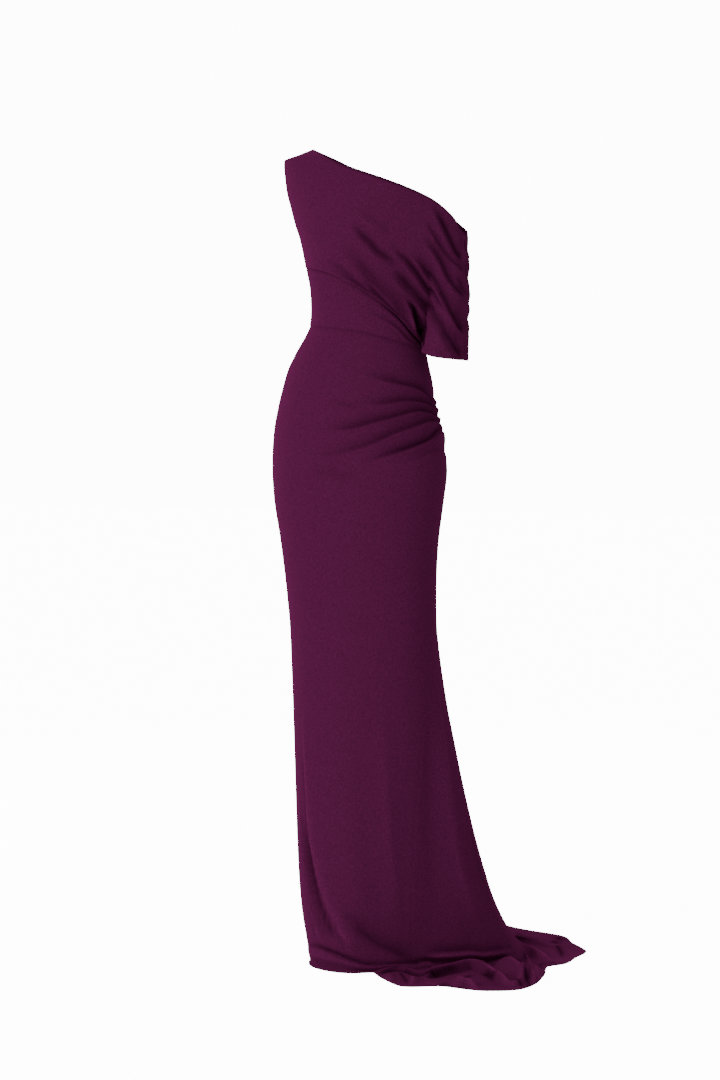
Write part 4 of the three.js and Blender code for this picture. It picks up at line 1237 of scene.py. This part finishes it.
    def draped(self, half: Half, patch: Patch, folds: tuple[Fold, ...], across: Array,
               down: Array, on_sleeve: Array) -> tuple[Array, Array]:
        """Presses a patch in along its folds, and its outer sleeve seam by the notches.

        The folds die out towards the lower seam but run on to the sleeve's hem. Beside the
        outer seam the cloth is pressed straight inward, so that both halves agree there.

        Args:
            half: the half of the loop.
            patch: the smooth patch.
            folds: its folds.
            across: places across the patch.
            down: places down it.
            on_sleeve: 1 for the columns that end at the sleeve's hem, 0 for the others.

        Returns:
            The pressed points, and the shade that the folds paint into their colour.
        """
        outer_end = self.OUTER_END[half]
        fade = blend(smooth(1, self.LOW_SEAM_FADE[half], down)[:, None], 1.0, on_sleeve[None, :])
        depth, shade = Creases(folds, BODICE_WIDTH_FLAT).press(patch.share, patch.height)
        outer = smooth(self.PUFF_START[half], outer_end, across)[None, :]
        press = blend(depth * fade, self.notches(patch.height), outer)
        near = smooth(self.OUTER_SEAM_REACH, 0, np.abs(across - outer_end))[None, :, None]
        normals = blend(normals_of(patch.grid), self.LEFTWARD, near)
        return patch.grid - press[..., None] * normals, shade

    def front_drape(self) -> Panel:
        """Returns the draped front, cut in one with the front of the sleeve."""
        half = Half.FRONT
        body = crowded(stations(count=172, length=345), spot=0.3, share=0.14) * SLEEVE_PINCH
        sleeve = SLEEVE_PINCH + stations(count=90, length=135) * (1 - SLEEVE_PINCH)
        across = np.concatenate([body, sleeve[1:]])
        down = stations(count=150, length=240)
        place = np.minimum(SIDE_LEFT * across / SLEEVE_PINCH, SIDE_LEFT - CREASE_INSET)
        seam = self.figure.point(place, self.drape_seam(place))
        hem = self.sleeve_hem(half, (1 - across) / (1 - SLEEVE_PINCH))
        low = np.where((across > SLEEVE_PINCH)[:, None], hem, seam)
        first = self.side_edge(half, DRAPE_SEAM_START_HEIGHT, down)
        patch = self.fill(half, across, down, self.neck_edge(half, across), low, first,
                          self.sleeve_edge(down))
        on_sleeve = smooth(SLEEVE_PINCH, SLEEVE_PINCH + self.SLEEVE_FADE, across)
        grid, shade = self.draped(half, patch, DRAPE_FOLDS, across, down, on_sleeve)
        grid = self.lifted_edge(grid, place, across)
        # A painted shade along the turned neckline, growing towards the sleeve.
        below_neck = np.linalg.norm(grid - grid[:1], axis=-1)
        rim = self.NECK_SHADE * hump(below_neck / self.NECK_SHADE_WIDTH)
        shade = np.maximum(shade, rim * smooth(*self.NECK_SHADE_START, across))
        cut = Cut(width=0.56, length=0.44, area=0.13, held="gathered", rests_on=("midriff_front",))
        edges = {"first": Edge.TURNED, "top": Edge.TURNED, "last": Edge.SEAM, "bottom": Edge.TURNED}
        return Panel("front_drape", grid, edges, cut, self.finish, shade)

    def lifted_edge(self, grid: Array, place: Array, across: Array) -> Array:
        """Lifts the drape's lower edge off the midriff, more so towards the left side."""
        length = run_along(grid)
        away = length[-1:] - length
        beside_sleeve = smooth(SLEEVE_PINCH, SLEEVE_PINCH - self.OVERLAP_PINCH, across)
        over = smooth(*self.OVERLAP_START, place) * beside_sleeve
        lift = self.OVERLAP_PROUD * over * smooth(self.OVERLAP_WIDTH, 0, away)
        groove = Panel.GROOVE_DEPTHS[Edge.SEAM] * hump(away / Panel.GROOVE_WIDTH)
        groove = groove * smooth(*self.GROOVE_END, place)
        return grid + (lift - groove)[..., None] * normals_of(grid)

    def midriff(self) -> Panel:
        """Returns the smooth wedge of the front between the drape and the waist seam.

        Its top reaches up under the drape, sinks a little there and gets a deep painted shade.
        """
        across = stations(count=130, length=250)
        down = stations(count=60, length=110)
        place = (SIDE_LEFT * across)[None, :]
        under = smooth(*self.OVERLAP_START, place)
        top = self.drape_seam(place) + self.OVERLAP_UNDER * under
        height = blend(top, self.waist(place), down[:, None])
        place = np.broadcast_to(place, height.shape)
        grid = self.figure.point(place, height)
        press, shade = Creases(MIDRIFF_FOLDS, SKIRT_GIRTH_FLAT).press(place, height)
        press = press * ends_eased(down, *self.MIDRIFF_FADE)[:, None]
        # A painted shadow under the drape's lower edge, darker and wider towards the left side.
        below = self.drape_seam(place) + self.UNDER_SHADE_DROP - height
        dark = blend(*self.UNDER_SHADE, smooth(*self.UNDER_SHADE_RUN, place))
        width = blend(*self.UNDER_SHADE_WIDTH, smooth(*self.UNDER_SHADE_WIDTH_RUN, place))
        shade = np.maximum(shade, dark * hump(below / width))
        sink = self.OVERLAP_SINK * under * smooth(self.OVERLAP_SINK_WIDTH, 0, below)
        grid = grid - (press + sink)[..., None] * normals_of(grid)
        cut = Cut(width=0.27, length=0.16, area=0.028, held="stretched", rests_on=("skirt_front",))
        edges = {side: Edge.SEAM for side in ("first", "top", "last", "bottom")}
        return Panel("midriff", grid, edges, cut, self.finish, shade)

    def left_back(self) -> Panel:
        """Returns the left back, cut in one with the back of the sleeve."""
        half = Half.BEHIND
        hem_places = stations(count=80, length=150) * self.HEM_END
        between = np.linspace(self.HEM_END, self.WAIST_START, self.BETWEEN_COLUMNS)
        waist_places = blend(self.WAIST_START, 1.0, stations(count=80, length=160))
        across = np.concatenate([hem_places, between[1:], waist_places[1:]])
        down = stations(count=150, length=260)
        place = blend(SIDE_LEFT, CENTRE_BACK, share_between(self.WAIST_START, 1, across))
        waist = self.figure.point(place, self.waist(place))
        hem = self.sleeve_hem(half, np.minimum(across / self.HEM_END, 1))
        low = blend(hem, waist, share_between(self.HEM_END, self.WAIST_START, across)[:, None])
        top = self.neck_edge(half, blend(1.0, self.CENTRE_BACK_NECKLINE, across))
        patch = self.fill(half, across, down, top, low, self.sleeve_edge(down),
                          self.centre_back(top[1][-1], down))
        on_sleeve = smooth(self.HEM_END, self.HEM_END - self.SLEEVE_FADE, across)
        grid, shade = self.draped(half, patch, BACK_DRAPE_FOLDS, across, down, on_sleeve)
        cut = Cut(width=0.42, length=0.36, area=0.085, held="gathered",
                  rests_on=("skirt_back_left",))
        edges = {"first": Edge.SEAM, "top": Edge.TURNED, "last": Edge.SEAM, "bottom": Edge.TURNED}
        return Panel("back_left", grid, edges, cut, self.finish, shade)

    def right_back(self) -> Panel:
        """Returns the right back, which carries the back of the strap."""
        half = Half.BEHIND
        across = stations(count=90, length=190)
        down = stations(count=150, length=330)
        place = blend(CENTRE_BACK, WHOLE_ROUND, across)
        low = self.figure.point(place, self.waist(place))
        top = self.neck_edge(half, blend(self.CENTRE_BACK_NECKLINE, 0.0, across))
        last = self.side_edge(half, float(self.waist(WHOLE_ROUND)), down)
        patch = self.fill(half, across, down, top, low, self.centre_back(top[1][0], down), last)
        cut = Cut(width=0.24, length=0.38, area=0.065, held="stretched",
                  rests_on=("skirt_back_right",))
        edges = {"first": Edge.SEAM, "top": Edge.TURNED, "last": Edge.TURNED, "bottom": Edge.SEAM}
        shade = np.zeros(patch.grid.shape[:2])
        return Panel("back_right", patch.grid, edges, cut, self.finish, shade)


@dataclass
class Skirt:
    """The three panels from the waist seam to the pooled hem."""

    figure: Figure
    finish: bpy.types.Material
    waist: Curve = field(init=False)
    left_seam: Curve = field(init=False)
    plan: dict[str, Curve] = field(init=False)

    STEP = 0.003
    HIP_FADE = 0.03
    KNEE_FADE = 0.05
    SEAM_FADE = 0.06
    LANDING_END = (FLOOR_PLACE + 0.002, FLOOR_PLACE - 0.004)
    WAIST_ROWS = (0.0, 0.5 / 60, 1.2 / 60, 2.2 / 60)
    ROW_BANDS = ((0.055, 10), (0.215, 118), (0.5, 18), (0.79, 24), (1.0, 98))
    HEM_ROWS = (1 - 0.0012, 1 - 0.0005, 1.0)

    def __post_init__(self) -> None:
        """Works out the curves of the seams and of the floor plan."""
        self.waist = WAIST_SEAM.curves()["height"]
        self.left_seam = LEFT_SIDE_SEAM.curves()["place"]
        self.plan = FLOOR_PLAN.curves()

    def train_rise(self, angle: Array, out: Array) -> Array:
        """Returns how far the ridges of the train lift the cloth that lies on the floor."""
        rise = np.zeros(angle.shape)
        for ridge in TRAIN_RIDGES:
            rise += ridge.rise * hump((angle - ridge.angle) / ridge.width)
        return rise * smooth(*RIDGE_START, out) * blend(1, RIDGE_AT_HEM, smooth(*RIDGE_EASE, out))

    def point(self, place: Array, down: Array) -> Array:
        """Returns points of the smooth skirt.

        From waist to knee it lies on the figure. From there each point swings out towards
        the flare at the floor, by fall to the power bend, with a last tuck as it lands. Past
        the landing line it lies on the floor, raised only by the ridges of the train.

        Args:
            place: places round the skirt.
            down: 0 at the waist seam, 1 at the hem.

        Returns:
            The points.
        """
        place, down = np.broadcast_arrays(place, down)
        around = place - np.floor(place)
        share = share_between(0, KNEE_PLACE, down)
        upper = self.figure.point(around, blend(self.waist(around), KNEE_HEIGHT, share))
        fall = share_between(KNEE_PLACE, FLOOR_PLACE, down)
        out = share_between(FLOOR_PLACE, 1, down)
        angle = (around - CENTRE_FRONT) * FULL_TURN
        turn = np.pi + 2 * np.pi * around
        aim = np.stack([np.cos(turn), np.sin(turn)], axis=-1)
        swing = fall ** self.plan["bend"](angle)
        flare = self.plan["flare"](angle)
        tuck = self.plan["tuck"](angle) * fall**LANDING_BEND
        reach = blend(tuck, self.plan["hem"](angle) - flare, out)
        flat = blend(upper[..., :2], flare[..., None] * aim, swing[..., None])
        flat = flat + reach[..., None] * aim
        height = blend(KNEE_HEIGHT, LANDING_HEIGHT, fall) + self.train_rise(angle, out)
        lower = np.concatenate([flat, height[..., None]], axis=-1)
        return np.where((down <= KNEE_PLACE)[..., None], upper, lower)

    def pooled(self, grid: Array, level: Array) -> tuple[Array, Array]:
        """Returns how far the folds of the pooled hem lift the cloth, and the shade they paint on
        it.

        Their lines run over the floor, so they are pressed in by x and y instead of by place
        and height, and only the rows near the floor are looked at.

        Args:
            grid: the smooth panel.
            level: shares of the way down, for each of its points.

        Returns:
            Lifts in millimetres, and painted shades as the creases give them.
        """
        lift, shade = np.zeros(level.shape), np.zeros(level.shape)
        low = level[:, 0] > POOL_START[0]
        depth, dark = Creases(POOL_FOLDS, 1.0).press(grid[low, :, 0], grid[low, :, 1])
        ease = smooth(*POOL_START, level[low])
        lift[low] = np.maximum(-depth, 0) * ease * smooth(*POOL_END, level[low])
        # The painted shade eases in where the pooled folds rise out of the cloth.
        shade[low] = dark * ease
        return lift, shade

    def rows(self) -> Array:
        """Returns the rows, closest together at the hip folds and the pooled hem."""
        rows = [np.array(self.WAIST_ROWS)]
        for end, count in self.ROW_BANDS:
            rows.append(np.linspace(rows[-1][-1], end, count)[1:])
        return np.concatenate([*rows[:-1], rows[-1][:-1], self.HEM_ROWS])

    def normals(self, place: Array, level: Array) -> Array:
        """Returns the smooth skirt's outward normals, from points a small step away."""
        above = self.point(place, np.maximum(level - self.STEP, 0))
        below = self.point(place, np.minimum(level + self.STEP, 1))
        beside = self.point(place + self.STEP, level) - self.point(place - self.STEP, level)
        return unit(np.cross(below - above, beside))

    def panel(self, name: str, across: Array, first: Seam, last: Seam, hips: tuple[Fold, ...],
              ridges: tuple[Fold, ...], landing: tuple[Fold, ...], cut: Cut) -> Panel:
        """Builds one panel of the skirt.

        Args:
            name: the piece's name.
            across: places across the panel.
            first: the first seam, as a place for each height.
            last: the last seam, likewise.
            hips: the folds above the knee.
            ridges: the soft ridges below it, which die out towards the seams.
            landing: the folds where the cloth meets the floor.
            cut: what its flat cut measures.

        Returns:
            The panel.
        """
        down = self.rows()
        guide = self.point(np.full_like(down, SIDE_LEFT), down)[:, 2]
        place = blend(first(guide)[:, None], last(guide)[:, None], across[None, :])
        level = np.broadcast_to(down[:, None], place.shape)
        grid = self.point(place, level)
        lift, shade = self.pooled(grid, level)
        to_knee = smooth(0, self.HIP_FADE, level)
        to_knee = to_knee * smooth(KNEE_PLACE, KNEE_PLACE - self.KNEE_FADE, level)
        to_floor = smooth(*self.LANDING_END, level)
        inside = ends_eased(across, self.SEAM_FADE, self.SEAM_FADE)
        press = np.zeros(level.shape)
        for folds, fade in ((hips, to_knee), (ridges, to_floor * inside), (landing, to_floor)):
            depth, dark = Creases(folds, SKIRT_GIRTH_FLAT).press(place, grid[..., 2])
            press += depth * fade
            # Each set of folds adds its painted shade, faded as its folds are.
            shade = 1 - (1 - shade) * (1 - dark * fade)
        grid = grid - press[..., None] * self.normals(place, level)
        grid[..., 2] += lift
        edges = {"first": Edge.PRESSED, "top": Edge.SEAM, "last": Edge.PRESSED,
                 "bottom": Edge.TURNED}
        return Panel(name, grid, edges, cut, self.finish, shade)

    def front(self) -> Panel:
        """Returns the skirt front, ruched into the left side seam."""
        cut = Cut(width=0.62, length=1.32, area=0.55, held="hung", rests_on=("midriff_front",))
        return self.panel("skirt_front_cloth", stations(count=166, length=480), straight_seam(0.0),
                          self.left_seam, HIP_FOLDS, SKIRT_FRONT_RIDGES, LANDING_FOLDS, cut)

    def back_left(self) -> Panel:
        """Returns the left back of the skirt, with its share of the train."""
        across = crowded(stations(count=166, length=300), spot=0.62, share=0.74)
        cut = Cut(width=0.62, length=1.52, area=0.5, held="hung", rests_on=("bodice_back_left",))
        return self.panel("skirt_left_cloth", across, self.left_seam, straight_seam(CENTRE_BACK),
                          HIP_FOLDS, SKIRT_BACK_RIDGES, LANDING_FOLDS, cut)

    def back_right(self) -> Panel:
        """Returns the right back of the skirt, with its share of the train."""
        cut = Cut(width=0.5, length=1.5, area=0.37, held="hung", rests_on=("bodice_back_right",))
        return self.panel("skirt_right_cloth", stations(count=130, length=240),
                          straight_seam(CENTRE_BACK), straight_seam(WHOLE_ROUND), (),
                          SKIRT_BACK_RIDGES, (), cut)


@dataclass(frozen=True)
class SoftBox:
    """A large soft studio light."""

    name: str
    place: Spot
    aim: Spot
    width: float
    height: float
    power: float

    def hang(self) -> None:
        """Hangs the light and turns it to what it lights."""
        data = bpy.data.lights.new(self.name, "AREA")
        data.shape = "RECTANGLE"
        data.size, data.size_y = self.width, self.height
        data.energy = self.power
        light = bpy.data.objects.new(self.name, data)
        light.location = self.place
        turn_towards(light, self.aim)
        bpy.context.collection.objects.link(light)


def turn_towards(thing: bpy.types.Object, aim: Spot) -> None:
    """Turns a light or camera so that it looks at a spot."""
    way = Vector(aim) - Vector(thing.location)
    thing.rotation_euler = way.to_track_quat("-Z", "Y").to_euler()


def seen_directly(tree: bpy.types.NodeTree, otherwise: float, seen: float) -> bpy.types.NodeSocket:
    """Returns a strength that is one value to the camera's own rays and another to the rest."""
    path = tree.nodes.new("ShaderNodeLightPath")
    strength = tree.nodes.new("ShaderNodeMapRange")
    set_inputs(strength, {"To Min": otherwise, "To Max": seen})
    tree.links.new(path.outputs["Is Camera Ray"], strength.inputs["Value"])
    return strength.outputs["Result"]


@dataclass
class Studio:
    """The camera, the lights, the pale floor and the white surroundings."""

    CAMERA_PLACE = (2.502, -4.070, -0.568)
    CAMERA_AIM = (0.1403, -0.0067, -0.7447)
    FOCAL_LENGTH = 81.43
    SENSOR_WIDTH = 36.0
    FARTHEST_SEEN = 200.0
    FLOOR_HEIGHT = -1.5567
    FLOOR_SIZE = 60.0
    FLOOR_COLOUR = (0.9, 0.9, 0.9, 1.0)
    FLOOR_ROUGHNESS = 0.6
    WHITE = (1.0, 1.0, 1.0, 1.0)
    WHITE_SEEN = 13.0
    ROOM_LIGHT = 0.72
    LIT_SPOT = (0.15, 0.0, -0.8)

    def camera(self) -> None:
        """Sets the camera up at the photograph's angle."""
        data = bpy.data.cameras.new("camera")
        data.lens = self.FOCAL_LENGTH
        data.sensor_width = self.SENSOR_WIDTH
        data.clip_end = self.FARTHEST_SEEN
        camera = bpy.data.objects.new("camera", data)
        camera.location = self.CAMERA_PLACE
        turn_towards(camera, self.CAMERA_AIM)
        bpy.context.collection.objects.link(camera)
        bpy.context.scene.camera = camera

    def floor(self) -> None:
        """Lays the pale floor."""
        half = self.FLOOR_SIZE / 2
        mesh = bpy.data.meshes.new("floor")
        corners = [(-half, -half), (half, -half), (half, half), (-half, half)]
        mesh.from_pydata([(x, y, self.FLOOR_HEIGHT) for x, y in corners], [], [(0, 1, 2, 3)])
        material, tree, shader = new_material("pale floor")
        set_inputs(shader, {
            "Base Color": self.FLOOR_COLOUR,
            "Roughness": self.FLOOR_ROUGHNESS,
            "Emission Color": self.WHITE,
        })
        strength = seen_directly(tree, 0.0, self.WHITE_SEEN)
        tree.links.new(strength, shader.inputs["Emission Strength"])
        mesh.materials.append(material)
        floor = bpy.data.objects.new("floor", mesh)
        bpy.context.collection.objects.link(floor)

    def surroundings(self) -> None:
        """Makes the surroundings plain white, far brighter to look at than as a light."""
        world = bpy.data.worlds.new("white studio")
        world.use_nodes = True
        tree = world.node_tree
        background = tree.nodes["Background"]
        set_inputs(background, {"Color": self.WHITE})
        strength = seen_directly(tree, self.ROOM_LIGHT, self.WHITE_SEEN)
        tree.links.new(strength, background.inputs["Strength"])
        bpy.context.scene.world = world

    def lights(self) -> None:
        """Hangs a high key light on the camera's left and a narrow one further behind."""
        SoftBox("key", place=(-1.5, -3.9, 1.0), aim=self.LIT_SPOT, width=1.6, height=2.6,
                power=120.0).hang()
        SoftBox("rim", place=(-2.9, 0.9, 0.2), aim=self.LIT_SPOT, width=0.8, height=2.8,
                power=60.0).hang()

    def set_up(self) -> None:
        """Sets up the whole studio."""
        self.camera()
        self.floor()
        self.surroundings()
        self.lights()


def main() -> None:
    """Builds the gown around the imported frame, and the studio round it."""
    logging.basicConfig(level=logging.INFO, format="%(name)s: %(message)s")
    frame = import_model()
    Studio().set_up()
    crepe = Crepe("plum crepe", PLUM).make()
    figure = Figure()
    bodice = Bodice(figure, crepe)
    skirt = Skirt(figure, crepe)
    pieces = (
        (bodice.front_drape, "bodice_front_drape"),
        (bodice.midriff, "midriff_front"),
        (bodice.left_back, "bodice_back_left"),
        (bodice.right_back, "bodice_back_right"),
        (skirt.front, "skirt_front"),
        (skirt.back_left, "skirt_back_left"),
        (skirt.back_right, "skirt_back_right"),
    )
    for cut_piece, node in pieces:
        cut_piece().build(node)
    zip_tape = frame["nodes"]["zip_centre_back"]
    zip_tape.data.materials.clear()
    zip_tape.data.materials.append(Tape("plum tape", TAPE_PLUM).make())


if __name__ == "__main__":
    main()
